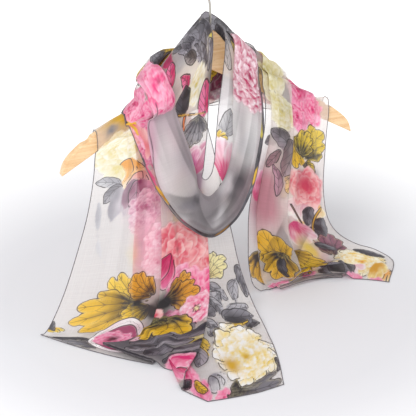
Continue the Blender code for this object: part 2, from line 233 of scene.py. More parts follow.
def unit(vectors):
    return vectors / np.maximum(np.linalg.norm(vectors, axis=-1, keepdims=True), 1e-9)


def layer_height(rank, places, panels, margin):
    """How many layers lie under a panel at these places across the cloth."""
    under = np.zeros_like(places)
    for other, (low, high) in enumerate(panels):
        if PANEL_RANK[other] < rank:
            under += ease((places - low) / margin + 1) * ease((high - places) / margin + 1)
    return under


def pleated(folds, width, pitch):
    """One row across the pleated cloth: each column's place across and height, and how many panels
    and what share of the next lie before it."""
    stops = np.array([0, *folds, 1.0])
    panels = [tuple(sorted(stops[k : k + 2])) for k in range(5)]
    margin = EASE * pitch / width

    def height(panel, place):
        return pitch * layer_height(PANEL_RANK[panel], np.atleast_1d(place), panels, margin)

    turns = []
    for fold in range(1, 5):
        heading = 1 if stops[fold] > stops[fold - 1] else -1
        low, high = height(fold - 1, stops[fold])[0], height(fold, stops[fold])[0]
        turns.append((heading * min(abs(high - low) / 2, TURN_RADIUS) / width, low, high))
    place, rise, share = [], [], []
    for panel in range(5):
        start = stops[panel] - (turns[panel - 1][0] if panel else 0)
        end = stops[panel + 1] - (turns[panel][0] if panel < 4 else 0)
        across = np.linspace(start, end, PANEL_CELLS[panel] + 1)
        place.extend(across)
        rise.extend(height(panel, across))
        share.extend(panel + np.linspace(0, 1, len(across)))
        if panel < 4:
            reach, low, high = turns[panel]
            angle = np.linspace(-math.pi / 2, math.pi / 2, TURN_CELLS + 1)[1:-1]
            place.extend(end + reach * np.cos(angle))
            rise.extend((low + high) / 2 + (high - low) / 2 * np.sin(angle))
            share.extend([panel + 1.0] * len(angle))
    return np.array(place), np.array(rise), np.array(share)


def cloth_surface():
    """The whole cloth in millimetres: rows of points, each point's place across and which way the
    cloth's front faces there, and the row at each section."""
    sections = [section for stretch in ROUTE for section in stretch.sections]
    edges = np.array([(s.outer, s.inner) for s in sections], float)
    numbers = np.array([(*s.folds, s.pitch, s.bulge, s.bow, s.rest, *s.ahead) for s in sections], float)
    steps = np.linalg.norm(np.diff(edges, axis=0), axis=2).mean(1)
    knots = np.concatenate([[0], np.cumsum(steps)])
    rows, section_row = [0.0], [0]
    for start, step in zip(knots, steps):
        cells = max(1, round(step / ROW_STEP))
        rows.extend(start + step * (i + 1) / cells for i in range(cells))
        section_row.append(len(rows) - 1)
    rows = np.array(rows)
    edge = through(knots, edges, rows)
    travel = through(knots, edges, rows + 0.5) - through(knots, edges, rows - 0.5)
    number = through(knots, numbers, rows)
    surface, places, fronts = [], [], []
    for (outer, inner), (go_outer, go_inner), row in zip(edge, travel, number):
        folds, pitch, bulge, bow, rest, ahead = row[:4], *row[4:8], row[8:]
        width = np.linalg.norm(inner - outer)
        place, rise, share = pleated(folds, width, pitch)
        place, rise = place[:, None], rise[:, None]
        points = outer + place * (inner - outer)
        go = unit(go_outer * (1 - place) + go_inner * place) + STRAIGHTEN * unit(go_outer + go_inner)
        out = unit(np.cross(inner - outer, go))
        arch = 4 * place * (1 - place)
        lead = np.interp(share, AHEAD_AT, ahead)[:, None] + bow * arch
        chord = arm_top(outer[0]) + place * (arm_top(inner[0]) - arm_top(outer[0]))
        drop = rest * (arm_top(points[:, :1]) - chord)
        level = unit((go_outer + go_inner) * (1, 1, 0))
        points = points + out * (rise + bulge * arch) - level * lead
        points[:, 2:] += drop
        points[:, 2] = np.maximum(points[:, 2], ON_FLOOR)
        surface.append(points)
        places.append(place[:, 0])
        fronts.append(out)
    return np.array(surface), np.array(places), np.array(fronts), section_row


# The creases in the hanging cloth. start and end are (place across the stretch, from 0 at its outer edge
# to 1 at its inner one; mm along the cloth). wide is how far the crease reaches to one side, high how far
# it stands out, and shade how much painted shade darkens the dye along its left side.
Crease = namedtuple("Crease", "start end wide high shade", defaults=(0.12,))
CREASES = (
    # The left end: soft folds down from the arm, and waves along its hem.
    Crease((0.07, 90), (0.10, 400), 12, 1.4, 0.04),
    Crease((0.17, 40), (0.22, 380), 14, -1.6, 0.04),
    Crease((0.30, 430), (0.24, 90), 10, 2.4, 0.10),
    Crease((0.41, 120), (0.43, 440), 9, -1.8, 0.10),
    Crease((0.55, 130), (0.57, 430), 7, 2.2, 0.14),
    Crease((0.68, 400), (0.64, 90), 8, -2.2, 0.10),
    Crease((0.76, 60), (0.74, 380), 8, 2.0, 0.05),
    Crease((0.88, 60), (0.87, 330), 10, -1.8, 0.04),
    Crease((0.08, 26), (0.30, 44), 11, 3.4, 0.16),
    Crease((0.34, 92), (0.12, 84), 9, 4.0, 0.16),
    Crease((0.34, 96), (0.52, 70), 14, 1.6, 0.16),
    Crease((0.62, 40), (0.36, 28), 14, 1.4, 0.16),
    Crease((0.66, 20), (0.86, 60), 13, 2.2, 0.06),
    Crease((0.78, 20), (0.96, 84), 9, -2.4, 0.06),
    # Behind the neck, twice.
    Crease((0.20, 470), (0.30, 640), 9, 1.8),
    Crease((0.48, 480), (0.50, 620), 8, -1.6),
    Crease((0.76, 470), (0.66, 630), 9, 1.8),
    Crease((0.22, 1215), (0.30, 1400), 10, 2.6),
    Crease((0.40, 1230), (0.42, 1410), 8, -2.2),
    Crease((0.58, 1215), (0.62, 1390), 9, 2.6),
    Crease((0.80, 1230), (0.76, 1400), 8, -2.2),
    # Down the right side of the loop.
    Crease((0.30, 910), (0.16, 760), 6, 2.0, 0.25),
    Crease((0.30, 740), (0.50, 912), 6, 2.6, 0.30),
    Crease((0.68, 890), (0.55, 720), 5, -2.2, 0.20),
    Crease((0.84, 700), (0.80, 880), 6, 2.0, 0.25),
    # Round its bottom, where the folds run together.
    Crease((0.06, 880), (0.10, 936), 5, 2.0, 0.35),
    Crease((0.44, 872), (0.26, 925), 5, 2.6, 0.30),
    Crease((0.10, 916), (0.64, 951), 7, 2.6, 0.40),
    Crease((0.52, 905), (0.30, 936), 4, -2.0, 0.25),
    Crease((0.67, 952), (0.04, 990), 6, 2.2, 0.45),
    Crease((0.34, 945), (0.10, 962), 5, -2.0, 0.30),
    # Up its left side.
    Crease((0.40, 1096), (0.68, 956), 7, 3.0, 0.32),
    Crease((0.14, 1110), (0.22, 1000), 6, -1.6, 0.12),
    Crease((0.26, 1120), (0.30, 1010), 5, 1.6, 0.10),
    Crease((0.84, 1120), (0.88, 990), 6, 1.8, 0.15),
    Crease((0.30, 1120), (0.46, 1190), 6, 2.6, 0.15),
    Crease((0.62, 1120), (0.70, 1200), 7, -2.2, 0.15),
    Crease((0.80, 1110), (0.86, 1210), 7, 2.4, 0.15),
    # The right end, down to its hem.
    Crease((0.08, 1420), (0.10, 1700), 9, 1.8, 0.08),
    Crease((0.24, 1430), (0.28, 1720), 9, -2.0, 0.10),
    Crease((0.42, 1420), (0.46, 1690), 8, 2.2, 0.15),
    Crease((0.64, 1640), (0.62, 1430), 7, -1.8, 0.15),
    Crease((0.80, 1420), (0.82, 1650), 7, 2.2, 0.15),
    Crease((0.94, 1440), (0.94, 1700), 6, -1.6, 0.10),
    Crease((0.12, 1690), (0.40, 1760), 9, 3.0, 0.15),
    Crease((0.62, 1740), (0.34, 1670), 7, -3.0, 0.30),
    Crease((0.60, 1640), (0.90, 1700), 7, 4.0, 0.30),
    Crease((0.96, 1750), (0.66, 1700), 8, -3.4, 0.25),
    Crease((0.30, 1770), (0.70, 1796), 7, 3.4, 0.25),
)
SHARP = 1.5  # a crease is never tighter than this round its top


class Cloth:
    """The cloth's points and what is known of each, in rows along it and columns across it."""

    def __init__(self):
        self.points, self.place, self.front, self.section_row = cloth_surface()
        self.crease()
        steps = np.linalg.norm(np.diff(self.points, axis=1), axis=2)
        reached = np.concatenate([np.zeros((len(steps), 1)), np.cumsum(steps, axis=1)], axis=1)
        built = reached[:, -1:]
        self.across = reached / built * CUT_WIDTH
        self.scale = np.broadcast_to(built / CUT_WIDTH, reached.shape)
        down = np.linalg.norm(np.diff(self.points, axis=0), axis=2).mean(1)
        self.row_along = np.concatenate([[0], np.cumsum(down)])
        self.along = np.broadcast_to(self.row_along[:, None], reached.shape)

    def crease(self):
        """Lifts the cloth along each crease, all its layers together so that none meets another, and records
        the painted shade laid along one side of each crease.
        """
        width = np.linalg.norm(self.points[:, -1] - self.points[:, 0], axis=1)
        steps = np.linalg.norm(np.diff(self.points, axis=0), axis=2).mean(1)
        reached = np.concatenate([[0], np.cumsum(steps)])
        lift = np.zeros(self.place.shape)
        self.painted_crease_shade = np.zeros(self.place.shape)
        for start, end, wide, high, shade in CREASES:
            nearest, furthest = sorted((start[1], end[1]))
            low, top = np.searchsorted(reached, (nearest - 4 * wide, furthest + 4 * wide))
            rows = slice(low, top)
            beside = np.interp((nearest, furthest), reached, width).mean()
            way = np.array([(end[0] - start[0]) * beside, end[1] - start[1]])
            long = np.linalg.norm(way)
            way /= long
            right = (self.place[rows] - start[0]) * width[rows, None]
            up = (reached[rows] - start[1])[:, None]
            gone, left = right * way[0] + up * way[1], up * way[0] - right * way[1]
            off = np.hypot(left, np.maximum(np.abs(gone - long / 2) - long / 2, 0))
            taper = np.sin(math.pi * np.clip(gone / long, 0.03, 0.97)) ** 0.7
            lift[rows] += high * taper * np.exp(-(np.hypot(off, SHARP) - SHARP) / wide)
            # Painted shade: the dye is darkened along the crease's left side.
            painted_crease_shade = shade * taper * ease(left / SHARP + 0.5) * np.exp(-((off / (1.6 * wide)) ** 2))
            self.painted_crease_shade[rows] += painted_crease_shade * (1 - self.painted_crease_shade[rows])
        x, y, z = np.moveaxis(self.points, -1, 0)
        lift *= 1 - ARM_CALM * ((np.abs(y) < NEAR_ARM[0]) & (z > arm_top(x) - NEAR_ARM[1]))
        self.points += lift[..., None] * self.front
        self.points[..., 2] = np.maximum(self.points[..., 2], ON_FLOOR)


cloth = Cloth()


# --- Small tools ----------------------------------------------------------------------------
def linear(colour):
    """An sRGB hex colour as linear red, green, blue and alpha."""
    values = [int(colour[i : i + 2], 16) / 255 for i in (1, 3, 5)]
    return (*(v / 12.92 if v <= 0.04045 else ((v + 0.055) / 1.055) ** 2.4 for v in values), 1.0)


def add_node(tree, kind, inputs=None, **settings):
    """Adds a node with its settings. inputs gives a socket, by name or number, a value or a link."""
    made = tree.nodes.new("ShaderNode" + kind)
    for name, value in settings.items():
        setattr(made, name, value)
    for socket, value in (inputs or {}).items():
        if isinstance(value, bpy.types.NodeSocket):
            tree.links.new(value, made.inputs[socket])
        else:
            made.inputs[socket].default_value = value
    return made


def new_material(name):
    made = bpy.data.materials.new(name)
    made.use_nodes = True
    made.node_tree.nodes.clear()
    return made, made.node_tree


def placed(points):
    """From the tables' millimetres over the peak to metres under the hook."""
    return (np.asarray(points, float) - (0, 0, PEAK_DROP)) * MM


# --- The print ------------------------------------------------------------------------------
GROUND = "#E6DED9"
GROUND_COVER = 0.40  # how much a single undyed layer hides of what lies behind it
NO_INK = 9.0  # further from an ink line than any line reaches
INK_BAND = 4.0  # how far outside its shape a drawn outline is still measured
BLOTCHES = 64  # how many random blotches lie in a row before they repeat
CREASE_SHADE_COVER = 0.6  # how much less shows through under the painted shade along a crease


def rgb(colour):
    return np.array(linear(colour)[:3])


def mottle(x, y, size, seed):
    """Soft blotches about size across, from -1 to 1."""
    lattice = np.random.default_rng(seed).uniform(-1, 1, (BLOTCHES, BLOTCHES))
    u, v = x / size, y / size
    i, j = np.floor(u).astype(int), np.floor(v).astype(int)

    def corner(right, above):
        return lattice[(i + right) % BLOTCHES, (j + above) % BLOTCHES]

    across, up = ease(u - i), ease(v - j)
    low = corner(0, 0) * (1 - across) + corner(1, 0) * across
    high = corner(0, 1) * (1 - across) + corner(1, 1) * across
    return low * (1 - up) + high * up


class DyeAndPaintedLight:
    """What is printed on the cloth at each of its points, with the painted shade and painted highlights laid
    into its colours.
    """

    def __init__(self):
        shape = cloth.across.shape
        self.colour = np.broadcast_to(rgb(GROUND), (*shape, 3)).copy()
        self.cover = np.full(shape, GROUND_COVER)
        self.outline = np.full(shape, NO_INK)
        self.vein = np.full(shape, NO_INK)


dye_and_painted_light = DyeAndPaintedLight()
Spot = namedtuple("Spot", "where x y size seed random")


def spot(at, to, reach):
    """The points of the cloth round a motif. x and y are each point's place in mm from the motif's
    foot at, y towards to. size is the distance from at to to, and reach is how many times as far the
    motif goes. The foot's place seeds what is random in it."""
    seed = at[0] * 7 + at[1] * 3
    row = np.abs(cloth.row_along - at[1]).argmin()
    scale = cloth.scale[row, 0]
    tip = np.array([(to[0] - at[0]) * scale, to[1] - at[1]], float)
    size = np.linalg.norm(tip)
    right, up = (cloth.across - at[0]) * cloth.scale, cloth.along - at[1]
    where = np.nonzero(right**2 + up**2 < (reach * size + 2) ** 2)
    right, up, (across, along) = right[where], up[where], tip / size
    x, y = right * along - up * across, right * across + up * along
    return Spot(where, x, y, size, seed, np.random.default_rng(seed))


def print_on(where, edge, colour, cover, feather=1.8, lined=False, vein=None):
    """Prints a shape. edge is how far each point lies outside it in mm, colour and cover are one value
    or one for each point, and vein is nought along the lines drawn inside it."""
    mask = ease(0.5 - edge / feather)
    dye_and_painted_light.colour[where] += mask[:, None] * (colour - dye_and_painted_light.colour[where])
    dye_and_painted_light.cover[where] += mask * (cover - dye_and_painted_light.cover[where])
    if lined:
        dye_and_painted_light.outline[where] = np.where(edge < INK_BAND, edge, dye_and_painted_light.outline[where])
    else:
        dye_and_painted_light.outline[where] = np.where(edge < 0, NO_INK, dye_and_painted_light.outline[where])
    dye_and_painted_light.vein[where] = np.where(edge < 0, NO_INK if vein is None else vein, dye_and_painted_light.vein[where])


def blend_of(first, second, share):
    share = np.clip(share, 0, 1)[:, None]
    return rgb(first) * (1 - share) + rgb(second) * share


def turned(x, y, degrees):
    """x and y in axes turned clockwise by so much."""
    c, s = math.cos(math.radians(degrees)), math.sin(math.radians(degrees))
    return x * c - y * s, x * s + y * c


def blade(x, y, long, wide, foot, tip, lobes=0, depth=0.0, lag=0.0):
    """How far a point lies outside a leaf or petal, drawn as discs along its rib from 0 to long. foot and
    tip are higher the more pointed that end is; lobes rounded lobes of a depth run down its sides."""
    top = (foot / (foot + tip)) ** foot * (tip / (foot + tip)) ** tip
    edge = np.full(len(x), 1e3)
    for t in np.linspace(0.03, 0.97, 15):
        half = wide / 2 * t**foot * (1 - t) ** tip / top
        half *= 1 + depth * np.cos(2 * math.pi * lobes * t + lag + np.sign(x)) if lobes else 1
        middle = half.mean() if lobes else half
        edge = np.minimum(edge, np.hypot(x, y - min(t * long, long - 0.6 * middle)) - half)
    return edge


def side_veins(u, y, space, slant):
    """Nought along a rib at u = 0 and along slanting side veins, space apart."""
    side = np.sin((y - slant * np.abs(u)) * math.pi / space) * space / math.pi
    return u * side / np.maximum(np.hypot(u, side), 1e-6)


# A leaf's dyes: round its edge or on one half, and along its ribs or on the other half.
OCHRE = ("#F4C832", "#2B2420")
GOLD = ("#E3C22E", "#3E3A34")
AMBER = ("#F0C23A", "#C9862A")
SLATE = ("#85828B", "#37333A")
STORM = ("#A9A5AF", "#5B5760")
CHARCOAL = ("#57535B", "#242026")
ASH = ("#B3B0B7", "#5A565E")
MIST = ("#C9C8CC", "#9C9AA2")

# The lobes of a tree peony's leaf: where each leaves the rib, its slant in degrees, its length and its
# width. All but the slant are to the leaf's own length.
LOBES = (
    (0.00, 0, 1.00, 0.34), (0.02, 15, 0.88, 0.30), (0.00, -16, 0.92, 0.30),
    (0.04, 31, 0.66, 0.27), (0.02, -33, 0.62, 0.27),
)


def lobed(x, y, size, wide):
    """How far a point lies outside a leaf of pointed lobes, and its place across and up its own lobe."""
    edge, across, up = np.full(len(x), 1e3), x.copy(), y.copy()
    for foot, slant, long, broad in LOBES:
        u, v = turned(x, y - foot * size, slant)
        lobe = blade(u, v, long * size, broad * wide * size, foot=1.3, tip=0.5)
        inside = lobe < edge
        edge, across, up = (np.where(inside, *two) for two in ((lobe, edge), (u, across), (v, up)))
    return edge, across, up


def broad_leaf(at, to, dyes=OCHRE, cover=0.93, wide=1.05, heart=0.5):
    """A tree peony's leaf: lobed and pointed, pale round the edge and dark along its ribs, the more so
    the higher heart is."""
    where, x, y, size, seed, random = spot(at, to, 1.15)
    rim, dark = dyes
    t = np.clip(y / size, 0, 1)
    u = x + random.uniform(-0.14, 0.14) * size * 4 * t * (1 - t)
    edge, lobe_x, lobe_y = lobed(u, y, size, wide)
    edge = edge + 0.035 * size * mottle(x, y, size * 0.1, seed + 2)
    streaks = np.sin(np.arctan2(lobe_x, lobe_y + 0.3 * size) * 38 + 2 * mottle(x, y, size * 0.2, seed))
    depth = 0.7 * np.exp(-((lobe_x / (0.05 * size)) ** 2)) * (1.2 - t) + 1.3 * np.exp(-((t / 0.52) ** 2))
    depth = heart * (1.5 * depth + 0.25 * streaks + 0.4 * mottle(x, y, size * 0.14, seed)) - 0.1
    colour = blend_of(rim, dark, ease(depth))
    glow = np.clip(1 + edge / (0.06 * size), 0, 1)[:, None] * 0.4
    colour = colour * (1 - glow) + (0.5 * rgb(rim) + 0.5 * rgb("#FBEFA8")) * glow
    print_on(where, edge, colour, cover, lined=True, vein=side_veins(lobe_x, lobe_y, 0.26 * size, 1.6))


def slim_leaf(at, to, dyes=SLATE, cover=0.93, wide=0.5, lined=True):
    """A plain pointed leaf, one half darker than the other, with a rib and side veins."""
    where, x, y, size, seed, random = spot(at, to, 1.15)
    t = np.clip(y / size, 0, 1)
    u = x + random.uniform(-0.2, 0.2) * size * 4 * t * (1 - t)
    edge = blade(u, y, size, wide * size, foot=0.8, tip=1.15)
    edge = edge + 0.03 * size * mottle(x, y, size * 0.16, seed + 2)
    shade = 0.5 + 0.4 * np.tanh(u / (0.07 * size)) + 0.5 * mottle(x, y, size * 0.22, seed) - 0.3 * (t - 0.4)
    wander = 0.02 * size * mottle(x, y, size * 0.3, seed + 3)
    vein = side_veins(u + wander, y, 0.26 * size, 1.5) if lined else None
    print_on(where, edge, blend_of(*dyes, shade), cover, lined=lined, vein=vein)


def one_petal(where, u, v, at, big, dyes, pale, cover, seed, random, lined):
    """A petal whose foot is towards the flower's middle: deep there, pale and ruffled at its rim."""
    rim, deep, _ = dyes
    reach, wide = big * random.uniform(0.9, 1.1), big * random.uniform(0.85, 1.2)
    x, y = u / wide, (v - at) / reach
    bearing = np.arctan2(x, y)
    lag = random.uniform(0, 6)
    ruffle = 0.09 * np.sin(random.integers(3, 6) * bearing + lag) + 0.03 * np.sin(9 * bearing + 2 * lag)
    edge = (np.hypot(x, y) - 0.8 - ruffle) * min(reach, wide)
    shadow = 0.55 * ease(0.5 - (edge - 0.03 * big) / (0.22 * big)) * (edge > -0.5)
    dye_and_painted_light.colour[where] += shadow[:, None] * (0.85 * rgb(deep) - dye_and_painted_light.colour[where])
    tone = pale + 0.66 * y + 0.12 * np.sin(8 * bearing + lag) + 0.4 * mottle(u, v, big * 0.45, seed)
    lip = np.clip(1 + edge / (0.14 * big), 0, 1) * np.clip(0.6 + y, 0, 1)
    colour = blend_of(deep, rim, np.clip(tone, 0, 1) ** 1.2)
    colour += (0.55 * lip)[:, None] * (0.35 * rgb(rim) + 0.65 * rgb("#FFFFFF") - colour)
    print_on(where, edge, colour, cover, lined=lined)


# A flower's dyes: at the petals' rims, at their feet, and in its heart.
PINKS = ("#FFB9D4", "#EC3382", "#A81852")
SALMON = ("#FBC9C8", "#E4526A", "#B02444")
MAGENTA = ("#F9A6C8", "#D3226C", "#8A1042")
CREAM = ("#FFFFFF", "#F6D540", "#D8A628")
PRIMROSE = ("#FCF8E0", "#E6D47A", "#CDB03A")
APRICOT = ("#FBE3B0", "#ECA02E", "#C87A1A")
STRAW = ("#F4F0D6", "#D6C873", "#A89A38")
# A flower's rings of petals, from the outermost: how many, how far out and how big, to its radius.
FULL = ((7, 0.62, 0.52), (5, 0.40, 0.52), (4, 0.19, 0.42), (2, 0.05, 0.28))
RAGGED = ((12, 0.74, 0.36), (10, 0.54, 0.34), (8, 0.34, 0.30), (5, 0.16, 0.24))
POMPON = (
    (20, 0.84, 0.20), (18, 0.70, 0.20), (15, 0.56, 0.19), (12, 0.42, 0.18), (9, 0.28, 0.17),
    (5, 0.13, 0.16), (2, 0.03, 0.12),
)


def peony(across, along, size, dyes=PINKS, cover=0.95, rings=FULL, lined=False, open_heart=False, pale=0.42):
    """A full peony seen from above: rings of ruffled petals, pale at the rim and deep at the foot. size
    is its radius."""
    where, x, y, size, seed, random = spot((across, along), (across, along + size), 1.3)
    print_on(where, np.hypot(x, y) - 0.7 * size, rgb(dyes[1]), cover, 0.2 * size)
    for number, (count, far, big) in enumerate(rings):
        start = random.uniform(0, 360)
        for k in range(count):
            u, v = turned(x, y, start + (k + random.uniform(-0.25, 0.25)) * 360 / count)
            far_out = far * size * random.uniform(0.9, 1.06)
            drawn = lined and number == 0
            one_petal(where, u, v, far_out, big * size, dyes, pale, cover, seed + 9 * k, random, drawn)
    if open_heart:
        stamens = np.hypot(x, y) - 0.2 * size * (1 + 0.35 * np.sin(7 * np.arctan2(x, y)))
        print_on(where, stamens, rgb("#33232A"), cover)
        print_on(where, stamens + 0.09 * size, rgb("#F7E9B8"), cover)
    else:
        print_on(where, np.hypot(x, y) - 0.06 * size, rgb(dyes[2]), cover, 0.2 * size)


def petals(at, to, dyes=PINKS, cover=0.93, count=3, spread=60, wide=0.6, lined=False):
    """A few loose petals from one foot, spread over so many degrees, as at a flower's edge or in a bud."""
    where, x, y, size, seed, random = spot(at, to, 1.2)
    rim, deep, _ = dyes
    for k in range(count):
        degrees = spread * (k / max(count - 1, 1) - 0.5) + random.uniform(-6, 6)
        u, v = turned(x, y, degrees)
        long = size * random.uniform(0.85, 1.0)
        edge = blade(u, v, long, wide * size, foot=0.7, tip=0.45, lobes=2, depth=0.08, lag=k)
        streaks = 0.3 * mottle(x, y, size * 0.2, seed + k) + 0.1 * np.sin(30 * np.arctan2(u, v))
        colour = blend_of(deep, rim, 1.2 * v / size - 0.25 + streaks)
        lip = np.clip(1 + edge / (0.08 * size), 0, 1) * np.clip(2 * v / size - 0.6, 0, 1)
        colour += (0.6 * lip)[:, None] * (rgb("#FFFFFF") - colour)
        print_on(where, edge, colour, cover, lined=lined)


def curl(at, to, wide, rim, inside):
    """Where the cloth curls over, painted on the flat cloth: an eye of its inner side, darkened in blotches
    as painted shade, within a rolled rim paled towards white in blotches as painted highlight.
    """
    where, x, y, size, seed, _ = spot(at, to, 1.1)
    across, up = wide / 2, size / 2
    eye = np.hypot(x / across, (y - up) / up)
    ruffle = 0.06 * np.sin(3 * np.arctan2(x, y - up) + 1.0)
    edge = (eye - 1 - ruffle) * min(across, up)
    painted_curl_light = 0.5 + 0.5 * mottle(x, y, size * 0.2, seed)
    print_on(where, edge, blend_of(rim, "#FFFFFF", painted_curl_light), 0.92, lined=True)
    lip = edge + 0.24 * min(across, up)
    print_on(where, lip, blend_of(inside, "#3A2028", 0.35 * painted_curl_light), 0.94, 2.4, lined=True)


def twig(at, to, colour, wide=3.0, bend=0.1, cover=0.9):
    """A stem, drawn with a dark outline unless it is thin."""
    where, x, y, size, _, _ = spot(at, to, 1.1)
    edge = np.abs(x - bend * y * (1 - y / size) * 4) - wide / 2 * (1.1 - 0.4 * y / size)
    edge = np.maximum(edge, np.maximum(y - size, -y))
    print_on(where, edge, rgb(colour), cover, lined=wide > 2)


def wash(at, to, colour, strength=1.0, wide=0.8, cover=0.93):
    """A soft cloud of colour with no drawn edge, drawn out along the way from at to to: a wash of the print,
    and on the loop also painted highlight and painted shade.
    """
    where, x, y, size, seed, _ = spot(at, to, 1.9)
    v = (y / size - 0.5) * 2
    u = x / (wide * size / 2)
    u = u + 0.3 * mottle(x, y, size * 0.3, seed)
    cloud = np.exp(-(u**2 + v**2) * (1 + 0.3 * mottle(x, y, size * 0.22, seed + 1)))
    mask = np.clip(strength * cloud * 1.25, 0, 1)
    dye_and_painted_light.colour[where] += mask[:, None] * (rgb(colour) - dye_and_painted_light.colour[where])
    dye_and_painted_light.cover[where] += mask * (cover - dye_and_painted_light.cover[where])


# --- The finishes ---------------------------------------------------------------------------
SLUBS = {"From Min": 0.7, "From Max": 1.3}  # from the finest yarn to the thickest, in the weave's height


def chiffon():
    """Printed polyester chiffon: a sheer plain weave of fine crimped yarn, dyed through. The open weave
    lets what lies behind show, the smooth yarn gives a faint lustre, and light glows through it."""
    made, tree = new_material("printed_polyester_chiffon")
    flat = add_node(tree, "UVMap", uv_map="cut").outputs[0]
    # The yarns are 0.2 mm apart. They are drawn as slubs of 1.5 by 60 mm, the finest that show.
    slubs = []
    for scale in ((650, 16, 1), (16, 650, 1)):
        space = add_node(tree, "Mapping", {"Vector": flat, "Scale": scale}).outputs[0]
        slubs.append(add_node(tree, "TexNoise", {"Vector": space, "Scale": 1.0, "Detail": 2.0}).outputs[0])
    weave = add_node(tree, "Math", {0: slubs[0], 1: slubs[1]}, operation="ADD").outputs[0]
    # Ink lines: how far they go to either side in millimetres, and how dark they are.
    drawn = []
    for name, half, dark in (("outline", 0.6, 0.9), ("vein", 0.42, 0.6)):
        off = add_node(tree, "Attribute", attribute_name=name).outputs["Fac"]
        off = add_node(tree, "Math", {0: off}, operation="ABSOLUTE").outputs[0]
        fading = {"Value": off, "From Min": half - 0.2, "From Max": half + 0.3, "To Min": dark, "To Max": 0.0}
        drawn.append(add_node(tree, "MapRange", fading, interpolation_type="SMOOTHSTEP").outputs[0])
    line = add_node(tree, "Math", {0: drawn[0], 1: drawn[1]}, operation="MAXIMUM").outputs[0]
    # The print's colours, with painted shade and painted highlights laid into them.
    colour = add_node(tree, "Attribute", attribute_name="dye_and_painted_light").outputs["Color"]
    yarn = add_node(tree, "MapRange", {"Value": weave, **SLUBS, "To Min": 0.97, "To Max": 1.02}).outputs[0]
    shaded = add_node(tree, "VectorMath", {0: colour, "Scale": yarn}, operation="SCALE").outputs[0]
    inked = add_node(tree, "Mix", {0: line, 6: shaded, 7: linear("#2B262A")}, data_type="RGBA").outputs[2]
    cover = add_node(tree, "Attribute", attribute_name="cover").outputs["Fac"]
    thin = add_node(tree, "MapRange", {"Value": weave, **SLUBS, "To Min": -0.02, "To Max": 0.02}).outputs[0]
    threads = add_node(tree, "Math", {0: cover, 1: thin}, operation="ADD").outputs[0]
    closed = add_node(tree, "Math", {0: threads, 1: line}, operation="MAXIMUM", use_clamp=True).outputs[0]
    rough = add_node(tree, "MapRange", {"Value": weave, **SLUBS, "To Min": 0.42, "To Max": 0.58}).outputs[0]
    crimp = add_node(tree, "Bump", {"Height": weave, "Strength": 0.35, "Distance": 0.0004}).outputs[0]
    yarns = add_node(
        tree, "BsdfPrincipled",
        {"Base Color": inked, "Roughness": rough, "Normal": crimp,
         "Sheen Weight": 0.1, "Sheen Roughness": 0.35, "IOR": 1.45},
    )
    through_yarns = add_node(tree, "BsdfTranslucent", {"Color": inked, "Normal": crimp})
    fabric = add_node(tree, "MixShader", {0: 0.3, 1: yarns.outputs[0], 2: through_yarns.outputs[0]})
    holes = add_node(tree, "BsdfTransparent")
    sheer = add_node(tree, "MixShader", {0: closed, 1: holes.outputs[0], 2: fabric.outputs[0]})
    add_node(tree, "OutputMaterial", {"Surface": sheer.outputs[0]})
    return made


def hem_thread():
    """The rolled hem: cloth rolled tight and overlocked with dark thread, so it shows as a fine cord."""
    made, tree = new_material("overlocked_hem")
    flat = add_node(tree, "UVMap", uv_map="cut").outputs[0]
    # Stitches are 2.5 mm apart. They are drawn as bands of four, 10 mm apart, the finest that show.
    bands = {"Vector": flat, "Scale": 63.7, "Distortion": 0.6}
    stitch = add_node(tree, "TexWave", bands, bands_direction="DIAGONAL").outputs["Fac"]
    dark = add_node(tree, "Mix", {0: stitch, 6: linear("#4A444A"), 7: linear("#6A6368")}, data_type="RGBA")
    rough = add_node(tree, "MapRange", {"Value": stitch, "To Min": 0.5, "To Max": 0.7}).outputs[0]
    bumps = add_node(tree, "Bump", {"Height": stitch, "Strength": 0.5, "Distance": 0.0003}).outputs[0]
    thread = add_node(
        tree, "BsdfPrincipled",
        {"Base Color": dark.outputs[2], "Roughness": rough, "Normal": bumps, "Sheen Weight": 0.2},
    )
    add_node(tree, "OutputMaterial", {"Surface": thread.outputs[0]})
    return made


def beech():
    """Steamed beech, planed and clear-lacquered: pinkish straw colour, straight grain and the short dark
    flecks that beech always has."""
    made, tree = new_material("lacquered_beech")
    place = add_node(tree, "TexCoord").outputs["Object"]
    # Growth rings are about 3 mm apart and run along the board; flecks are about 2 by 0.3 mm.
    grown = add_node(tree, "Mapping", {"Vector": place, "Scale": (14, 110, 330)}).outputs[0]
    grain = {"Vector": grown, "Scale": 1.0, "Detail": 4.0, "Distortion": 0.6}
    rings = add_node(tree, "TexNoise", grain).outputs[0]
    strewn = add_node(tree, "Mapping", {"Vector": place, "Scale": (260, 1400, 1400)}).outputs[0]
    flecks = add_node(tree, "TexNoise", {"Vector": strewn, "Scale": 1.0, "Detail": 1.0}).outputs[0]
    band = add_node(tree, "MapRange", {"Value": rings, "From Min": 0.3, "From Max": 0.7}).outputs[0]
    wood = add_node(tree, "Mix", {0: band, 6: linear("#F0CFA2"), 7: linear("#DDB07C")}, data_type="RGBA")
    dark = add_node(tree, "MapRange", {"Value": flecks, "From Min": 0.60, "From Max": 0.72, "To Max": 0.35})
    flecked = add_node(
        tree, "Mix", {0: dark.outputs[0], 6: wood.outputs[2], 7: linear("#B07C4C")}, data_type="RGBA"
    )
    rough = add_node(tree, "MapRange", {"Value": rings, "To Min": 0.38, "To Max": 0.55}).outputs[0]
    pores = add_node(tree, "Bump", {"Height": flecks, "Strength": 0.25, "Distance": 0.0002}).outputs[0]
    lacquer = add_node(
        tree, "BsdfPrincipled",
        {"Base Color": flecked.outputs[2], "Roughness": rough, "Normal": pores,
         "Coat Weight": 0.25, "Coat Roughness": 0.3},
    )
    add_node(tree, "OutputMaterial", {"Surface": lacquer.outputs[0]})
    return made


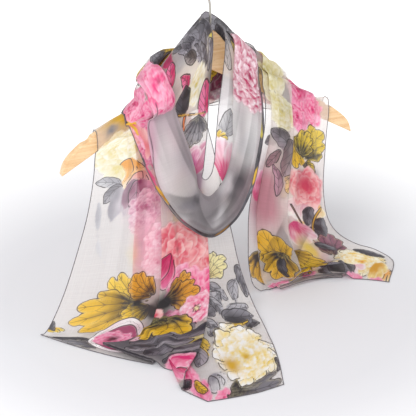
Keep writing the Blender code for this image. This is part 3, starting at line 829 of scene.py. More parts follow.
def plated_steel():
    """Nickel-plated steel wire, drawn: a soft grey shine with fine lines along the wire."""
    made, tree = new_material("nickel_plated_steel")
    place = add_node(tree, "TexCoord").outputs["Object"]
    # Drawing lines are a few hundredths of a millimetre wide, and are drawn here at half a millimetre.
    along = add_node(tree, "Mapping", {"Vector": place, "Scale": (2000, 2000, 60)}).outputs[0]
    lines = add_node(tree, "TexNoise", {"Vector": along, "Scale": 1.0, "Detail": 2.0}).outputs[0]
    grey = add_node(tree, "Mix", {0: lines, 6: linear("#8E8A84"), 7: linear("#BDB9B2")}, data_type="RGBA")
    rough = add_node(tree, "MapRange", {"Value": lines, "To Min": 0.22, "To Max": 0.42}).outputs[0]
    scores = add_node(tree, "Bump", {"Height": lines, "Strength": 0.15, "Distance": 0.0001}).outputs[0]
    metal = add_node(
        tree, "BsdfPrincipled",
        {"Base Color": grey.outputs[2], "Metallic": 1.0, "Roughness": rough, "Normal": scores},
    )
    add_node(tree, "OutputMaterial", {"Surface": metal.outputs[0]})
    return made


CHIFFON = chiffon()
HEM = hem_thread()


# --- Making the pieces ----------------------------------------------------------------------
def new_piece(name, points, faces, flat, made_of):
    """A piece of cloth from its points in table millimetres, with each point's place on the flat cloth."""
    mesh = bpy.data.meshes.new(name)
    mesh.from_pydata(placed(points).tolist(), [], faces)
    corners = np.empty(len(mesh.loops), np.int32)
    mesh.loops.foreach_get("vertex_index", corners)
    mesh.uv_layers.new(name="cut").data.foreach_set("uv", (flat[corners] * MM).astype(np.float32).ravel())
    mesh.materials.append(made_of)
    mesh.shade_smooth()
    made = bpy.data.objects.new(name, mesh)
    bpy.context.scene.collection.objects.link(made)
    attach(made, "root")
    return made


def grid_faces(rows, columns):
    at = (np.arange(rows - 1)[:, None] * columns + np.arange(columns - 1)).ravel()
    return np.stack([at, at + 1, at + columns + 1, at + columns], axis=1).tolist()


def give_dye_and_painted_light(mesh, rows):
    """Gives a stretch of cloth, made of these rows, the print at each of its points, with the painted shade
    and painted highlights laid into it.
    """
    colour = dye_and_painted_light.colour[rows].reshape(-1, 3)
    layer = mesh.attributes.new("dye_and_painted_light", "FLOAT_COLOR", "POINT")
    layer.data.foreach_set("color", np.insert(colour, 3, 1, axis=1).astype(np.float32).ravel())
    for name in ("cover", "outline", "vein"):
        layer = mesh.attributes.new(name, "FLOAT", "POINT")
        layer.data.foreach_set("value", getattr(dye_and_painted_light, name)[rows].astype(np.float32).ravel())


HEM_RADIUS = 0.55  # the rolled hem is a cord about a millimetre thick
HEM_SIDES = 6


def rolled_hem(name, edges):
    """A fine cord along each edge of a stretch: (points, places on the flat cloth) for each."""
    angle = np.linspace(0, 2 * math.pi, HEM_SIDES, endpoint=False)
    points, flats, faces, first = [], [], [], 0
    for line, flat in edges:
        way = unit(np.gradient(line, axis=0))
        side = unit(np.cross(way, (0.2, 0.4, 1.0)))
        up = np.cross(side, way)
        ring = line[:, None] + HEM_RADIUS * (
            np.cos(angle)[None, :, None] * side[:, None] + np.sin(angle)[None, :, None] * up[:, None]
        )
        count = len(line)
        points += [ring.reshape(-1, 3), line[:1], line[-1:]]
        flats += [np.repeat(flat, HEM_SIDES, axis=0), flat[:1], flat[-1:]]
        row, around = np.meshgrid(np.arange(count - 1), np.arange(HEM_SIDES), indexing="ij")
        a = (first + row * HEM_SIDES + around).ravel()
        b = (first + row * HEM_SIDES + (around + 1) % HEM_SIDES).ravel()
        faces += np.stack([a, b, b + HEM_SIDES, a + HEM_SIDES], axis=1).tolist()
        last, middle = first + (count - 1) * HEM_SIDES, first + count * HEM_SIDES
        for k in range(HEM_SIDES):
            after = (k + 1) % HEM_SIDES
            faces += [first + after, first + k, middle], [last + k, last + after, middle + 1]
        first = middle + 2
    return new_piece(name, np.concatenate(points), faces, np.concatenate(flats), HEM)


def build_scarf():
    """Makes each stretch and its hem. The normals are the whole cloth's, so no join between two shows."""
    normals = unit(np.cross(np.gradient(cloth.points, axis=1), np.gradient(cloth.points, axis=0)))
    flat = np.stack([cloth.across, cloth.along], axis=2)
    first = 0
    for number, stretch in enumerate(ROUTE):
        at_end = number == len(ROUTE) - 1
        last = first + len(stretch.sections) - at_end
        low, high = cloth.section_row[first], cloth.section_row[last]
        rows = slice(low, high + 1)
        part, cut = cloth.points[rows], flat[rows]
        faces = grid_faces(*part.shape[:2])
        name = "scarf_" + stretch.name
        piece = new_piece(name + "_cloth", part.reshape(-1, 3), faces, cut.reshape(-1, 2), CHIFFON)
        give_dye_and_painted_light(piece.data, rows)
        piece.data.normals_split_custom_set_from_vertices(normals[rows].reshape(-1, 3).tolist())
        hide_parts(name)
        edges = [(part[:, k], cut[:, k]) for k in (0, -1)]
        if number == 0:
            edges.append((part[0], cut[0]))
        if at_end:
            edges.append((part[-1], cut[-1]))
        hem = rolled_hem(name + "_hem", edges)
        first = last


# --- The stage, in metres and watts ---------------------------------------------------------
STAGE_HALF = 6.0  # half the paper's width
# How far out from under the hook the painted shade on the paper starts to fade and its painted glow to rise,
# and where each is done.
PAINTED_SHADE_FADES, PAINTED_GLOW_SPAN = (0.35, 0.75), (0.30, 0.85)
PAINTED_GLOW_STRENGTH = 0.36  # how strongly the paper's painted glow shines there
ROOM_LIGHT = 0.78
LAYERS_SEEN = 48  # how many layers in a row may be looked through
Lamp = namedtuple("Lamp", "name place size power")
LAMPS = (Lamp("key", (-1.45, -1.5, 1.6), 1.2, 42), Lamp("fill", (1.8, -1.2, 0.9), 1.8, 5))
LAMPS_AIM = (0, 0, -0.3)
CAMERA_PLACE = (-0.7203, -1.7749, 0.5297)
CAMERA_TURN, CAMERA_TILT = 22, 25  # degrees round from the front to the left, and up
SENSOR, LENS = 36, 126.9  # mm


def towards(way):
    """The rotation of a lamp or camera that looks this way."""
    return Vector(way).to_track_quat("-Z", "Y").to_euler()


def build_stage():
    """Pale paper, darkened near the part as painted shade and glowing away from it as painted light, though
    it is no lamp.
    """
    floor = (FLOOR - PEAK_DROP) * MM
    corners = [(x * STAGE_HALF, y * STAGE_HALF, floor) for x, y in ((-1, -1), (1, -1), (1, 1), (-1, 1))]
    mesh = bpy.data.meshes.new("floor")
    mesh.from_pydata(corners, [], [(0, 1, 2, 3)])
    made, tree = new_material("floor_painted_shade_and_glow")
    place = add_node(tree, "TexCoord").outputs["Object"]
    level = add_node(tree, "VectorMath", {0: place, 1: (1, 1, 0)}, operation="MULTIPLY").outputs[0]
    away = add_node(tree, "VectorMath", {0: level}, operation="LENGTH").outputs["Value"]
    # Painted shade: the paper is darker (#DCDCE0) near the part and pales to #FDFDFE away from it.
    far = add_node(tree, "MapRange", {"Value": away, "From Min": PAINTED_SHADE_FADES[0], "From Max": PAINTED_SHADE_FADES[1]}).outputs[0]
    pale = add_node(tree, "Mix", {0: far, 6: linear("#DCDCE0"), 7: linear("#FDFDFE")}, data_type="RGBA")
    # Painted light: the paper glows away from the part, though it is no lamp.
    glow = add_node(
        tree, "MapRange", {"Value": away, "From Min": PAINTED_GLOW_SPAN[0], "From Max": PAINTED_GLOW_SPAN[1], "To Max": PAINTED_GLOW_STRENGTH}
    )
    paper = add_node(
        tree, "BsdfPrincipled",
        {"Base Color": pale.outputs[2], "Roughness": 0.9,
         "Emission Color": (1, 1, 1, 1), "Emission Strength": glow.outputs[0]},
    )
    add_node(tree, "OutputMaterial", {"Surface": paper.outputs[0]})
    mesh.materials.append(made)
    stage = bpy.data.objects.new("floor", mesh)
    bpy.context.scene.collection.objects.link(stage)


def build_light():
    scene = bpy.context.scene
    scene.view_settings.view_transform = "Standard"
    scene.cycles.transparent_max_bounces = LAYERS_SEEN
    scene.cycles.max_bounces = 8
    world = bpy.data.worlds.new("studio")
    world.use_nodes = True
    world.node_tree.nodes.clear()
    room = add_node(world.node_tree, "Background", {"Color": (1, 1, 1, 1), "Strength": ROOM_LIGHT})
    add_node(world.node_tree, "OutputWorld", {"Surface": room.outputs[0]})
    scene.world = world
    for name, place, size, power in LAMPS:
        lamp = bpy.data.lights.new(name, "AREA")
        lamp.size, lamp.energy = size, power
        lit = bpy.data.objects.new(name, lamp)
        scene.collection.objects.link(lit)
        lit.location = place
        lit.rotation_euler = towards(Vector(LAMPS_AIM) - Vector(place))


def build_camera():
    scene = bpy.context.scene
    camera = bpy.data.objects.new("camera", bpy.data.cameras.new("camera"))
    scene.collection.objects.link(camera)
    turn, tilt = math.radians(CAMERA_TURN), math.radians(CAMERA_TILT)
    camera.location = CAMERA_PLACE
    camera.rotation_euler = towards(
        (math.cos(tilt) * math.sin(turn), math.cos(tilt) * math.cos(turn), -math.sin(tilt))
    )
    camera.data.sensor_width, camera.data.lens = SENSOR, LENS
    camera.data.dof.use_dof = False
    scene.camera = camera


# --- The print's motifs ---------------------------------------------------------------------
ORCHID = ("#D9A3B8", "#8C5470")
FUCHSIA = ("#EE7FAA", "#C81F5E")
LEMON = ("#E8D850", "#A8941E")
HUSK = ("#E3A22E", "#4A2C20")
OLIVE = ("#BDA238", "#3A3628")
WINE = ("#9A6478", "#5A3444")
PLUM = ("#A04468", "#5A1C38", "#3A1024")


def print_left_end():
    # The upper part, over the arm and below it: watery yellow and grey.
    wash((20, 452), (100, 430), "#D9B02E", 0.95, 1.0, 0.85)
    wash((100, 440), (125, 400), "#B08C2E", 0.8, 0.8, 0.8)
    wash((22, 432), (44, 420), "#7F8694", 0.8, 0.9, 0.8)
    wash((84, 408), (104, 388), "#70788A", 0.8, 0.9, 0.8)
    peony(44, 376, 42, PRIMROSE, 0.72)
    peony(88, 372, 30, PRIMROSE, 0.72)
    petals((70, 352), (66, 304), APRICOT, 0.88, 3, 50, 0.5, True)
    petals((92, 330), (90, 296), ("#FBE3DC", "#E8A090", "#C8604A"), 0.85, 3, 70, 0.55, True)
    petals((50, 344), (34, 318), PRIMROSE, 0.75, wide=0.55)
    slim_leaf((54, 312), (2, 322), MIST, 0.75, 0.42)
    slim_leaf((54, 312), (22, 288), ("#A9A6AD", "#77747C"), 0.8)
    slim_leaf((54, 308), (40, 258), ("#C0BDC4", "#8A8790"), 0.75, 0.42, False)
    slim_leaf((60, 306), (62, 264), MIST, 0.7, 0.34, False)
    slim_leaf((16, 292), (26, 240), MIST, 0.58, 0.16, False)
    slim_leaf((27, 244), (48, 200), ("#DAD7DA", "#BDBABF"), 0.52, 0.14, False)
    wash((96, 312), (92, 250), "#EBC6D2", 0.9, 0.8, 0.72)
    slim_leaf((80, 318), (60, 276), ("#C7A3B2", "#8A5E74"), 0.8, 0.5, False)
    slim_leaf((84, 316), (82, 262), ("#D3A6B8", "#93506F"), 0.84, 0.44)
    slim_leaf((90, 318), (104, 278), ("#D79AB2", "#8E3E63"), 0.84, 0.5, False)
    peony(102, 276, 26, ("#F2C4D4", "#B8527F", "#8A3058"), 0.86)
    peony(92, 256, 18, ("#F6D0DC", "#C4688F", "#98406A"), 0.82)
    wash((86, 240), (88, 196), "#EBDCA0", 0.7, 0.4, 0.62)
    wash((98, 262), (98, 200), "#F0CBD8", 0.75, 0.4, 0.7)
    wash((118, 250), (116, 170), "#E9B9C8", 0.85, 0.34, 0.78)
    peony(128, 226, 26, ("#FBE3EA", "#E79AB4", "#C45A80"), 0.78)
    peony(122, 196, 22, ("#FBE9EE", "#E8A9BC", "#C45A80"), 0.74)
    # The pink that shows through from the panels behind.
    peony(352, 225, 45, cover=0.9)
    peony(392, 170, 45, SALMON, 0.9)
    peony(330, 330, 45, MAGENTA, 0.9)
    peony(380, 300, 40, cover=0.9)
    # The blooms down the front.
    wash((214, 232), (268, 214), "#C4AE2E", 0.95, 0.9, 0.85)
    wash((190, 320), (190, 250), "#E3A9B8", 0.7, 0.6, 0.7)
    peony(250, 190, 34, SALMON, 0.94, pale=0.34)
    peony(196, 212, 42, SALMON, pale=0.32)
    peony(258, 152, 34, cover=0.92)
    peony(212, 158, 32, cover=0.92)
    peony(212, 102, 24, MAGENTA, 0.92)
    petals((182, 208), (174, 158), ("#F07AA8", "#C81F5E", "#8C1240"), 0.95, 2, 22, 0.42, True)
    wash((276, 108), (282, 76), "#E8D45A", 0.9, 0.6, 0.85)
    petals((262, 106), (284, 84), cover=0.92)
    petals((292, 70), (266, 96), CREAM, 0.85)
    broad_leaf((116, 142), (60, 174), ("#F4CC48", "#4A3C2C"), heart=0.4)
    broad_leaf((112, 138), (22, 108), ("#EFBE2C", "#2B2420"), 0.93, 0.85, 0.42)
    broad_leaf((126, 150), (92, 181), HUSK, 0.93, 1.1, 0.36)
    broad_leaf((188, 150), (220, 172), HUSK, 0.93, 1.1, 0.36)
    broad_leaf((184, 140), (234, 154), HUSK, 0.93, 0.85, 0.42)
    broad_leaf((122, 134), (86, 110), heart=0.45)
    peony(238, 126, 24, ("#FFE2EE", "#E8307C", "#A81852"), 0.96, FULL, False, True, 0.34)
    wash((112, 146), (92, 132), "#221E20", 0.95, 0.7)
    wash((136, 152), (150, 126), "#2A2526", 0.95, 0.9)
    wash((182, 150), (198, 120), "#221E20", 1.0, 0.9, 0.94)
    wash((156, 146), (150, 104), "#2E2826", 1.0, 1.1, 0.94)
    wash((182, 126), (196, 100), "#2E282A", cover=0.94)
    wash((126, 142), (126, 106), "#33292A", wide=0.7)
    slim_leaf((180, 124), (196, 106), SALMON[:2], 0.92, 0.5, False)
    # Along its hem.
    wash((20, 22), (60, 10), "#8F8A92", 0.8, 0.8, 0.85)
    wash((120, 40), (330, 34), "#5E5A61", 1.0, 0.34, 0.92)
    wash((120, 14), (330, 8), "#6A656D", 1.0, 0.2, 0.92)
    slim_leaf((60, 66), (6, 14), CHARCOAL, 0.92, 0.4)
    broad_leaf((86, 30), (30, 18), ("#8D8A93", "#5A565E"), wide=0.88)
    petals((2, 92), (16, 74), ("#F0D34E", "#DDAE22", "#B98A1E"), 0.9, 3, 60, 0.5, True)
    slim_leaf((0, 108), (10, 78), CHARCOAL, 0.9, 0.4)
    # The curl of the hem is painted: its pale rim is painted highlight and its darkened eye is painted shade.
    curl((96, 20), (94, 114), 76, "#EBCFD8", "#B04872")
    peony(92, 70, 24, MAGENTA)
    peony(84, 66, 22, MAGENTA)
    wash((82, 66), (92, 80), "#5A1230", 1.0, 0.6, 0.95)
    wash((326, 62), (416, 56), "#5E5A61", 1.0, 0.5, 0.92)
    twig((197, 100), (232, 44), "#E9BCCB", 9.0, 0.0, 0.93)
    for at, to in (
        ((242, 104), (234, 66)), ((268, 106), (260, 66)), ((296, 104), (288, 64)), ((322, 100), (314, 62)),
        ((252, 72), (244, 32)), ((278, 72), (270, 32)), ((305, 70), (297, 34)), ((330, 70), (322, 34)),
        ((266, 40), (256, 2)), ((292, 42), (284, 4)), ((316, 44), (308, 10)), ((338, 50), (332, 26)),
        ((140, 62), (132, 20)), ((160, 44), (154, 6)), ((200, 44), (184, 8)), ((180, 76), (150, 36)),
        ((352, 84), (364, 44)), ((376, 84), (382, 46)), ((398, 80), (402, 42)), ((418, 78), (416, 44)),
    ):
        slim_leaf(at, to, ("#A79FA8", "#4C4650") if at[0] % 4 else ("#857D87", "#38343E"), 0.94, 0.66)
    # Two leaves hang over the dark band.
    broad_leaf((184, 112), (222, 74), OLIVE, wide=0.85)
    broad_leaf((196, 110), (246, 64), ("#EDBB2A", "#2B2420"), 0.93, 0.9, 0.45)
    peony(330, 22, 24)
    peony(362, 24, 22)
    petals((322, 30), (346, 4), PINKS, 0.92, 3, 70)
    petals((366, 40), (352, 4), MAGENTA, 0.92)
    peony(396, 26, 22)
    peony(418, 8, 18, MAGENTA)
    petals((428, 30), (446, 18), ("#E7E3E6", "#8C8790", "#55505A"), 0.9, lined=True)
    slim_leaf((408, 22), (428, 12), ("#EBC23A", "#B98A1E"), 0.95, 0.6)
    slim_leaf((388, 4), (402, 22), CHARCOAL, 0.95, 0.6)
    peony(446, 2, 12)
    # Beyond the last fold: leaves and a cream peony on the bare ground.
    broad_leaf((466, 162), (498, 190), ("#EFE3A0", "#D9BC5C"), 0.82, heart=0.3)
    for at, to, inks in (
        ((466, 158), (488, 136), ASH), ((508, 160), (496, 132), ASH), ((450, 118), (480, 148), ASH),
        ((460, 140), (472, 114), ASH), ((480, 126), (512, 132), ASH), ((470, 116), (514, 118), SLATE),
        ((444, 92), (474, 106), ASH), ((444, 82), (462, 70), ASH), ((516, 176), (514, 140), ASH),
        ((496, 100), (516, 108), SLATE), ((450, 130), (446, 156), ASH), ((440, 112), (462, 98), ASH),
    ):
        slim_leaf(at, to, inks, 0.92)
    twig((470, 106), (502, 111), "#DDB22A", 4.0)
    broad_leaf((444, 8), (516, 6), ("#85828B", "#3A363C"), wide=0.7)
    peony(480, 60, 46, CREAM, 0.96, RAGGED, True, pale=0.5)
    wash((450, 54), (466, 38), "#DDB036", 0.9)
    slim_leaf((517, 50), (515, 24), ASH, 0.92, 0.36)


def print_loop():
    # Over the right side of the neck and down: slate leaves, a chrysanthemum, then pale and dark grey washes.
    for at, to in (
        ((468, 662), (478, 606)), ((500, 655), (508, 600)), ((440, 645), (452, 600)),
        ((300, 655), (312, 606)), ((480, 680), (512, 640)), ((452, 600), (500, 585)),
        ((500, 716), (512, 680)),
    ):
        slim_leaf(at, to)
    slim_leaf((488, 672), (468, 694), LEMON, 0.92)
    # The pale washes (#F0EDEE, #EDEBEC, #E8E5E7, #DAD6D9) are partly the print's grey and partly painted
    # highlight where the silky folds catch the light; the dark ones (#565157, #8A7A80) are partly print and
    # partly painted shade lower down the strand.
    wash((205, 850), (205, 730), "#B7A2AB", 0.9, 0.4, 0.86)
    wash((240, 850), (246, 745), "#F0EDEE", 1.0, 0.5, 0.88)
    wash((288, 850), (288, 690), "#EDEBEC", 0.95, 0.2, 0.86)
    wash((268, 840), (270, 730), "#B9B4B8", 0.7, 0.16, 0.86)
    wash((496, 830), (500, 690), "#E8E5E7", 0.9, 0.34, 0.84)
    wash((236, 896), (256, 838), "#565157", wide=1.1)
    wash((205, 905), (212, 850), "#8A7A80", 0.95, 0.5, 0.9)
    wash((290, 910), (288, 856), "#DAD6D9", 1.0, 0.3, 0.9)
    peony(240, 700, 56, ("#FFEFF5", "#C01F60", "#98184A"), rings=POMPON, pale=0.4)
    slim_leaf((500, 806), (478, 766), ("#C9C7C9", "#85828A"), 0.86, 0.6)
    petals((508, 816), (488, 800), ("#F0D34E", "#C79A22", "#B98A1E"), 0.92, 3, 50, 0.5, True)
    petals((466, 874), (490, 808), ("#FBE3EC", "#D2306F", "#9A1C4E"), 0.95, 3, 40, 0.55)
    # Round the bottom and up the left side.
    # Round the bottom, the grey washes are partly the print's grey and partly painted light: the dark ones
    # (#8C8589, #77727A, #48444A) are painted shade where the folds run together, and the pale ones (#C4BFC2,
    # C0BBBE) are painted highlight on them.
    wash((250, 975), (250, 880), "#8C8589", 1.0, 1.6, 0.92)
    wash((215, 925), (255, 900), "#C4BFC2", 0.9, 0.4, 0.92)
    wash((495, 1000), (488, 925), "#8C6E80", 0.95, 0.8, 0.88)
    wash((205, 966), (292, 950), "#77727A", wide=0.36)
    wash((262, 956), (286, 946), "#48444A", 1.0, 0.7, 0.94)
    wash((198, 958), (220, 950), "#C0BBBE", 0.9, 0.7, 0.92)
    # Up the left strand: the mauve at the top (#C3B2BA) and the pink down its left edge (#DDB2C4) are print;
    # the pale wash (#DDD6D7) is partly print and partly painted highlight, and the grey down its right edge
    # (#B2A6AC) is partly print and partly painted shade where the strand turns away.
    wash((235, 1130), (232, 1040), "#C3B2BA", 0.95, 1.3, 0.86)
    wash((216, 1070), (224, 976), "#DDD6D7", cover=0.92)
    wash((286, 1085), (290, 968), "#B2A6AC", 0.95, 0.34, 0.88)
    wash((188, 1110), (192, 1000), "#DDB2C4", 0.8, 0.16, 0.88)
    peony(236, 1152, 28, MAGENTA)
    peony(208, 1136, 36, cover=0.96)
    peony(262, 1128, 18, MAGENTA)
    peony(228, 1112, 18)
    # A dark line is painted along the loop's front fold: painted shade at the fold's edge, not part of the
    # print.
    line = (
        (196, 700), (190, 750), (187, 800), (190, 855), (195, 930), (197, 975), (193, 1046), (182, 1120),
    )
    for at, to in zip(line, line[1:]):
        twig(at, to, "#4A444A", 1.6, 0, 0.95)
    # The outer edge of the loop: rose petals, ochre and charcoal by turns.
    for across, along, size, dyes in (
        (30, 1150, 28, MAGENTA), (44, 1116, 24, PINKS), (26, 1082, 26, SALMON), (20, 1042, 20, MAGENTA),
        (60, 1070, 30, PINKS), (50, 1010, 26, SALMON),
    ):
        peony(across, along, size, dyes, 0.93)
    wash((8, 1010), (8, 820), "#57525A", 0.95, 0.12)
    wash((6, 900), (6, 690), "#4A464C", 0.95, 0.14, 0.94)
    for at, to, inks in (
        ((3, 1128), (12, 1070), ("#F0C23A", "#D9962A")), ((10, 1092), (4, 1030), SALMON),
        ((2, 1046), (6, 1012), CHARCOAL), ((4, 1030), (9, 985), FUCHSIA),
        ((2, 1000), (5, 974), AMBER), ((5, 975), (8, 950), CHARCOAL),
        ((3, 958), (5, 928), FUCHSIA), ((6, 940), (4, 915), CHARCOAL), ((3, 918), (6, 896), HUSK),
        ((4, 880), (3, 850), SLATE), ((5, 850), (3, 828), AMBER),
        ((3, 820), (6, 780), CHARCOAL), ((4, 790), (8, 750), LEMON),
    ):
        slim_leaf(at, to, inks[:2], 0.93, 0.2, False)
    slim_leaf((6, 1168), (9, 1120), CHARCOAL, wide=0.22)
    # Round the back of the neck, where it shows over the hook and over the left shoulder.
    wash((500, 1200), (508, 1330), "#8A8690", 1.0, 0.7, 0.94)
    wash((478, 1110), (480, 1226), "#8A8690", cover=0.94)
    for at, to in (
        ((226, 1164), (262, 1200)), ((250, 1172), (292, 1208)), ((122, 1166), (132, 1212)),
        ((140, 1180), (150, 1214)), ((478, 1250), (500, 1290)), ((500, 1262), (510, 1300)),
        ((476, 1290), (500, 1330)), ((508, 1300), (500, 1344)), ((486, 1310), (470, 1344)),
        ((460, 1262), (444, 1300)), ((484, 1224), (460, 1256)), ((506, 1234), (494, 1268)),
        ((446, 1230), (424, 1262)), ((512, 1330), (492, 1362)), ((300, 1176), (330, 1206)),
        ((60, 1176), (90, 1206)),
    ):
        slim_leaf(at, to, STORM if at[1] % 4 else SLATE, 0.94, 0.56)
    # Its inner hem: dark, with flecks of ochre.
    wash((515, 1066), (515, 1192), "#3E3638", 1.0, 0.12, 0.94)
    for along in (1104, 1122, 1171):
        slim_leaf((517, along), (512, along + 13), LEMON, 0.94, 0.4, False)
    # Inside the left strand: leaves, a drop, a twig and a drift of rose.
    wash((440, 1130), (466, 1080), "#EFE7DC", 0.9, 1.0, 0.84)
    for at, to in (
        ((508, 1128), (516, 1180)), ((494, 1122), (498, 1176)), ((480, 1136), (480, 1190)),
        ((466, 1148), (458, 1196)), ((454, 1136), (440, 1180)), ((470, 1122), (448, 1152)),
        ((486, 1112), (468, 1142)), ((502, 1106), (486, 1134)), ((510, 1102), (508, 1128)),
        ((440, 1160), (424, 1192)), ((474, 1170), (466, 1214)), ((500, 1172), (490, 1220)),
    ):
        slim_leaf(at, to, STORM if at[0] % 4 else SLATE, 0.94, 0.44)
    slim_leaf((462, 1124), (434, 1140), ("#8E8484", "#4A4040"), 0.94, 0.66)
    slim_leaf((400, 1148), (408, 1186), ("#D23A72", "#A01850"), 0.94, 0.5, False)
    peony(474, 1098, 15, ("#FFFDF0", "#E3C93A", "#C9BC5A"), 0.86, pale=0.62)
    slim_leaf((386, 1122), (406, 1156), FUCHSIA)
    slim_leaf((447, 1102), (408, 1122), FUCHSIA, wide=0.4)
    slim_leaf((449, 1076), (432, 1106), CHARCOAL, 0.95, 0.66)
    slim_leaf((506, 1068), (503, 1098), FUCHSIA, 0.95, 0.75)
    twig((436, 1078), (514, 1070), "#CC9A2A", bend=0.02)
    twig((456, 1074), (463, 1046), "#D9702B", 3.6)
    broad_leaf((494, 1072), (472, 1030), ("#9A969C", "#565159"))
    petals((498, 985), (496, 1030), ("#E5A9C0", "#B0406F", "#7A2A4C"), 0.9, 4, 80)
    petals((478, 995), (470, 1026), ("#F0BFD0", "#C0508A", "#7A2A4C"), 0.88)


def print_right_end():
    wash((505, 1405), (500, 1365), "#3E3A40")
    wash((230, 1390), (232, 1362), "#3E3A40")
    peony(228, 1430, 36, STRAW, 0.85)
    peony(206, 1488, 28, STRAW, 0.85)
    peony(480, 1450, 40, STRAW, 0.8)
    slim_leaf((170, 1538), (236, 1526), wide=0.6)
    slim_leaf((482, 1530), (514, 1546))
    slim_leaf((172, 1526), (184, 1584), wide=0.55)
    slim_leaf((200, 1546), (224, 1576), CHARCOAL, wide=0.4)
    wash((215, 1670), (205, 1560), "#CC8E9A", 0.95, 0.6, 0.84)
    wash((500, 1680), (500, 1560), "#B86C80", 0.9, 0.4, 0.84)
    petals((506, 1624), (508, 1580), MAGENTA, 0.92, 2, 20, 0.45)
    slim_leaf((186, 1612), (206, 1568), ORCHID, 0.86, 0.35)
    broad_leaf((206, 1742), (214, 1668), ("#E8B42C", "#33241E"), 0.93, 1.1, 0.34)
    broad_leaf((190, 1700), (234, 1752), ("#E8B42C", "#2B2420"), 0.93, 0.9, 0.44)
    broad_leaf((480, 1700), (508, 1756), ("#E0A82A", "#33241E"), heart=0.6)
    slim_leaf((196, 1718), (212, 1758), CHARCOAL, 0.95, 0.3)
    # Its upper panel.
    wash((64, 1700), (66, 1440), "#EFE0DC", 1.0, 0.42, 0.82)
    peony(98, 1484, 22, MAGENTA, 0.93)
    peony(84, 1440, 34, MAGENTA, 0.94)
    peony(50, 1464, 22, cover=0.92)
    broad_leaf((94, 1508), (84, 1560), ("#E3B62E", "#6A5A28"), heart=0.35)
    broad_leaf((70, 1548), (20, 1490), GOLD)
    broad_leaf((66, 1554), (30, 1556), GOLD)
    broad_leaf((76, 1546), (62, 1498), GOLD, wide=0.88)
    wash((60, 1566), (20, 1558), "#77747A", 0.9, 0.6, 0.9)
    petals((54, 1610), (30, 1652), APRICOT, 0.93, 4, 80, 0.5)
    petals((60, 1606), (64, 1646), ("#FFFBF4", "#E3A9B8", "#C98D9C"), 0.93, 4, 90)
    peony(50, 1588, 36, SALMON, 0.96)
    wash((52, 1566), (52, 1602), "#D8405F", 0.85, 0.9, 0.96)
    slim_leaf((38, 1622), (56, 1662))
    slim_leaf((20, 1640), (30, 1694))
    slim_leaf((50, 1660), (30, 1700), CHARCOAL, wide=0.4)
    twig((14, 1618), (62, 1706), "#D8A83A", 3.6, 0.08)
    twig((86, 1620), (58, 1712), "#8E5A3A", 2.6, -0.1)
    petals((84, 1650), (70, 1700), ("#FBEAF0", "#D6447C", "#9A1C4E"), 0.93, 3, 50, 0.5)
    wash((92, 1740), (80, 1690), "#EBD166", 0.95, 0.6, 0.9)
    # On the surface: dark leaves and a yellow peony, with rose along the hem.
    broad_leaf((66, 1738), (26, 1688), WINE)
    peony(84, 1776, 24, ("#FDF8DC", "#E2B23A", "#C87A1A"), 0.93, lined=True)
    peony(44, 1768, 36, ("#FFFBE6", "#EFC43A", "#D9702B"), 0.93, RAGGED, True, pale=0.5)
    petals((16, 1790), (10, 1812), APRICOT, lined=True)
    petals((72, 1772), (56, 1800), ("#FFF4F4", "#F0A9BC", "#D06A88"), 0.93, 3, 70, 0.5)
    petals((30, 1784), (18, 1804), ("#FCE9A8", "#E0A52E", "#C87A1A"), spread=70)
    for at, to, inks in (
        ((100, 1742), (60, 1810), SLATE), ((108, 1768), (84, 1808), CHARCOAL),
        ((78, 1760), (66, 1800), SLATE), ((22, 1742), (6, 1768), CHARCOAL),
        ((116, 1780), (104, 1812), SLATE), ((64, 1700), (40, 1726), SLATE),
    ):
        slim_leaf(at, to, inks)
    broad_leaf((118, 1704), (94, 1756), ("#E3BE3A", "#8A6A1E"), heart=0.4)
    peony(60, 1812, 16, cover=0.94)
    peony(22, 1816, 14, cover=0.94)
    peony(236, 1782, 24, MAGENTA)
    peony(150, 1795, 20, MAGENTA)
    peony(196, 1790, 22)
    broad_leaf((170, 1760), (215, 1800), wide=0.88)


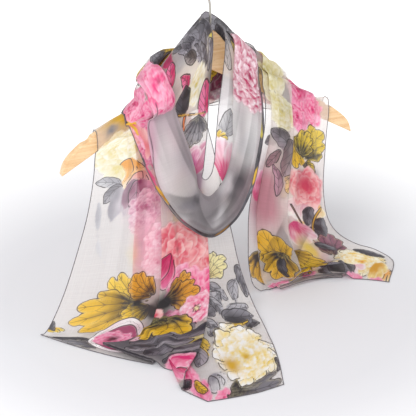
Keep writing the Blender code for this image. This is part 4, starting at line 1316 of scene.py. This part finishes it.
def print_hidden_side():
    """The parts of the cloth that lie behind the neck and under the other panels."""
    for across, along, size, dyes in (
        (150, 520, 45, PINKS), (420, 470, 40, MAGENTA), (60, 540, 35, PRIMROSE), (400, 590, 32, PLUM),
        (40, 588, 28, PLUM), (140, 640, 40, SALMON), (60, 730, 35, PINKS), (400, 760, 40, PRIMROSE),
        (150, 860, 40, SALMON), (370, 930, 35, PINKS), (380, 1040, 40, PRIMROSE), (130, 1060, 35, PINKS),
        (120, 1220, 42, PINKS), (330, 1250, 40, SALMON), (200, 1320, 40, PRIMROSE),
        (440, 1330, 35, MAGENTA), (60, 1370, 35, SALMON), (340, 1450, 45, PINKS), (420, 1580, 45, PRIMROSE),
        (330, 1660, 40, SALMON), (420, 1740, 40, PINKS), (450, 260, 45, CREAM), (440, 400, 40, SALMON),
        (290, 440, 40, PRIMROSE), (360, 80, 32, SALMON), (140, 210, 30, PINKS), (150, 420, 35, PINKS),
        (250, 1246, 44, MAGENTA), (262, 1384, 30, PINKS), (486, 1262, 28, PRIMROSE), (30, 1260, 36, SALMON),
        (430, 1400, 36, PRIMROSE), (240, 470, 42, PINKS),
    ):
        peony(across, along, size, dyes, 0.85)
    for at, to in (
        ((190, 500), (250, 530)), ((120, 575), (70, 620)), ((330, 520), (380, 490)),
        ((470, 540), (440, 580)), ((190, 700), (150, 740)), ((90, 800), (60, 840)),
        ((350, 850), (390, 880)), ((110, 960), (70, 930)), ((330, 1000), (360, 1050)),
        ((160, 1140), (190, 1180)), ((60, 1230), (30, 1270)), ((250, 1230), (290, 1200)),
        ((400, 1260), (440, 1230)), ((130, 1320), (90, 1360)), ((300, 1380), (340, 1420)),
        ((440, 1420), (480, 1400)), ((340, 1560), (300, 1600)), ((130, 1560), (150, 1610)),
        ((380, 1680), (430, 1700)), ((300, 1740), (340, 1780)), ((420, 340), (480, 360)),
        ((300, 280), (340, 300)), ((140, 290), (160, 340)), ((400, 100), (430, 60)),
    ):
        broad_leaf(at, to, OCHRE, 0.88, 1.0)
    for at, to in (
        ((220, 560), (270, 600)), ((350, 610), (330, 650)), ((30, 660), (60, 700)),
        ((420, 700), (380, 740)), ((120, 820), (150, 780)), ((420, 900), (470, 880)),
        ((80, 1000), (120, 1020)), ((330, 1110), (360, 1150)), ((220, 1200), (190, 1240)),
        ((480, 1250), (510, 1300)), ((20, 1310), (50, 1330)), ((380, 1360), (350, 1330)),
        ((130, 1440), (160, 1490)), ((300, 1520), (350, 1540)), ((460, 1640), (420, 1660)),
        ((140, 1660), (170, 1700)), ((480, 430), (515, 470)), ((360, 380), (400, 350)),
        ((420, 300), (390, 260)), ((140, 100), (170, 140)),
    ):
        slim_leaf(at, to, SLATE, 0.88, 0.46)


def print_scarf():
    print_hidden_side()
    print_left_end()
    print_loop()
    print_right_end()
    # Painted shade along the creases: on one side of each, the dye is darkened and shows less through.
    dye_and_painted_light.colour *= (1 - cloth.painted_crease_shade)[..., None]
    dye_and_painted_light.cover += CREASE_SHADE_COVER * cloth.painted_crease_shade * (1 - dye_and_painted_light.cover)


print_scarf()
build_scarf()
for node, finish in (("hanger_board", beech()), ("hanger_hook", plated_steel())):
    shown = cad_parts[node]
    shown.data.materials.clear()
    shown.data.materials.append(finish)
build_stage()
build_light()
build_camera()
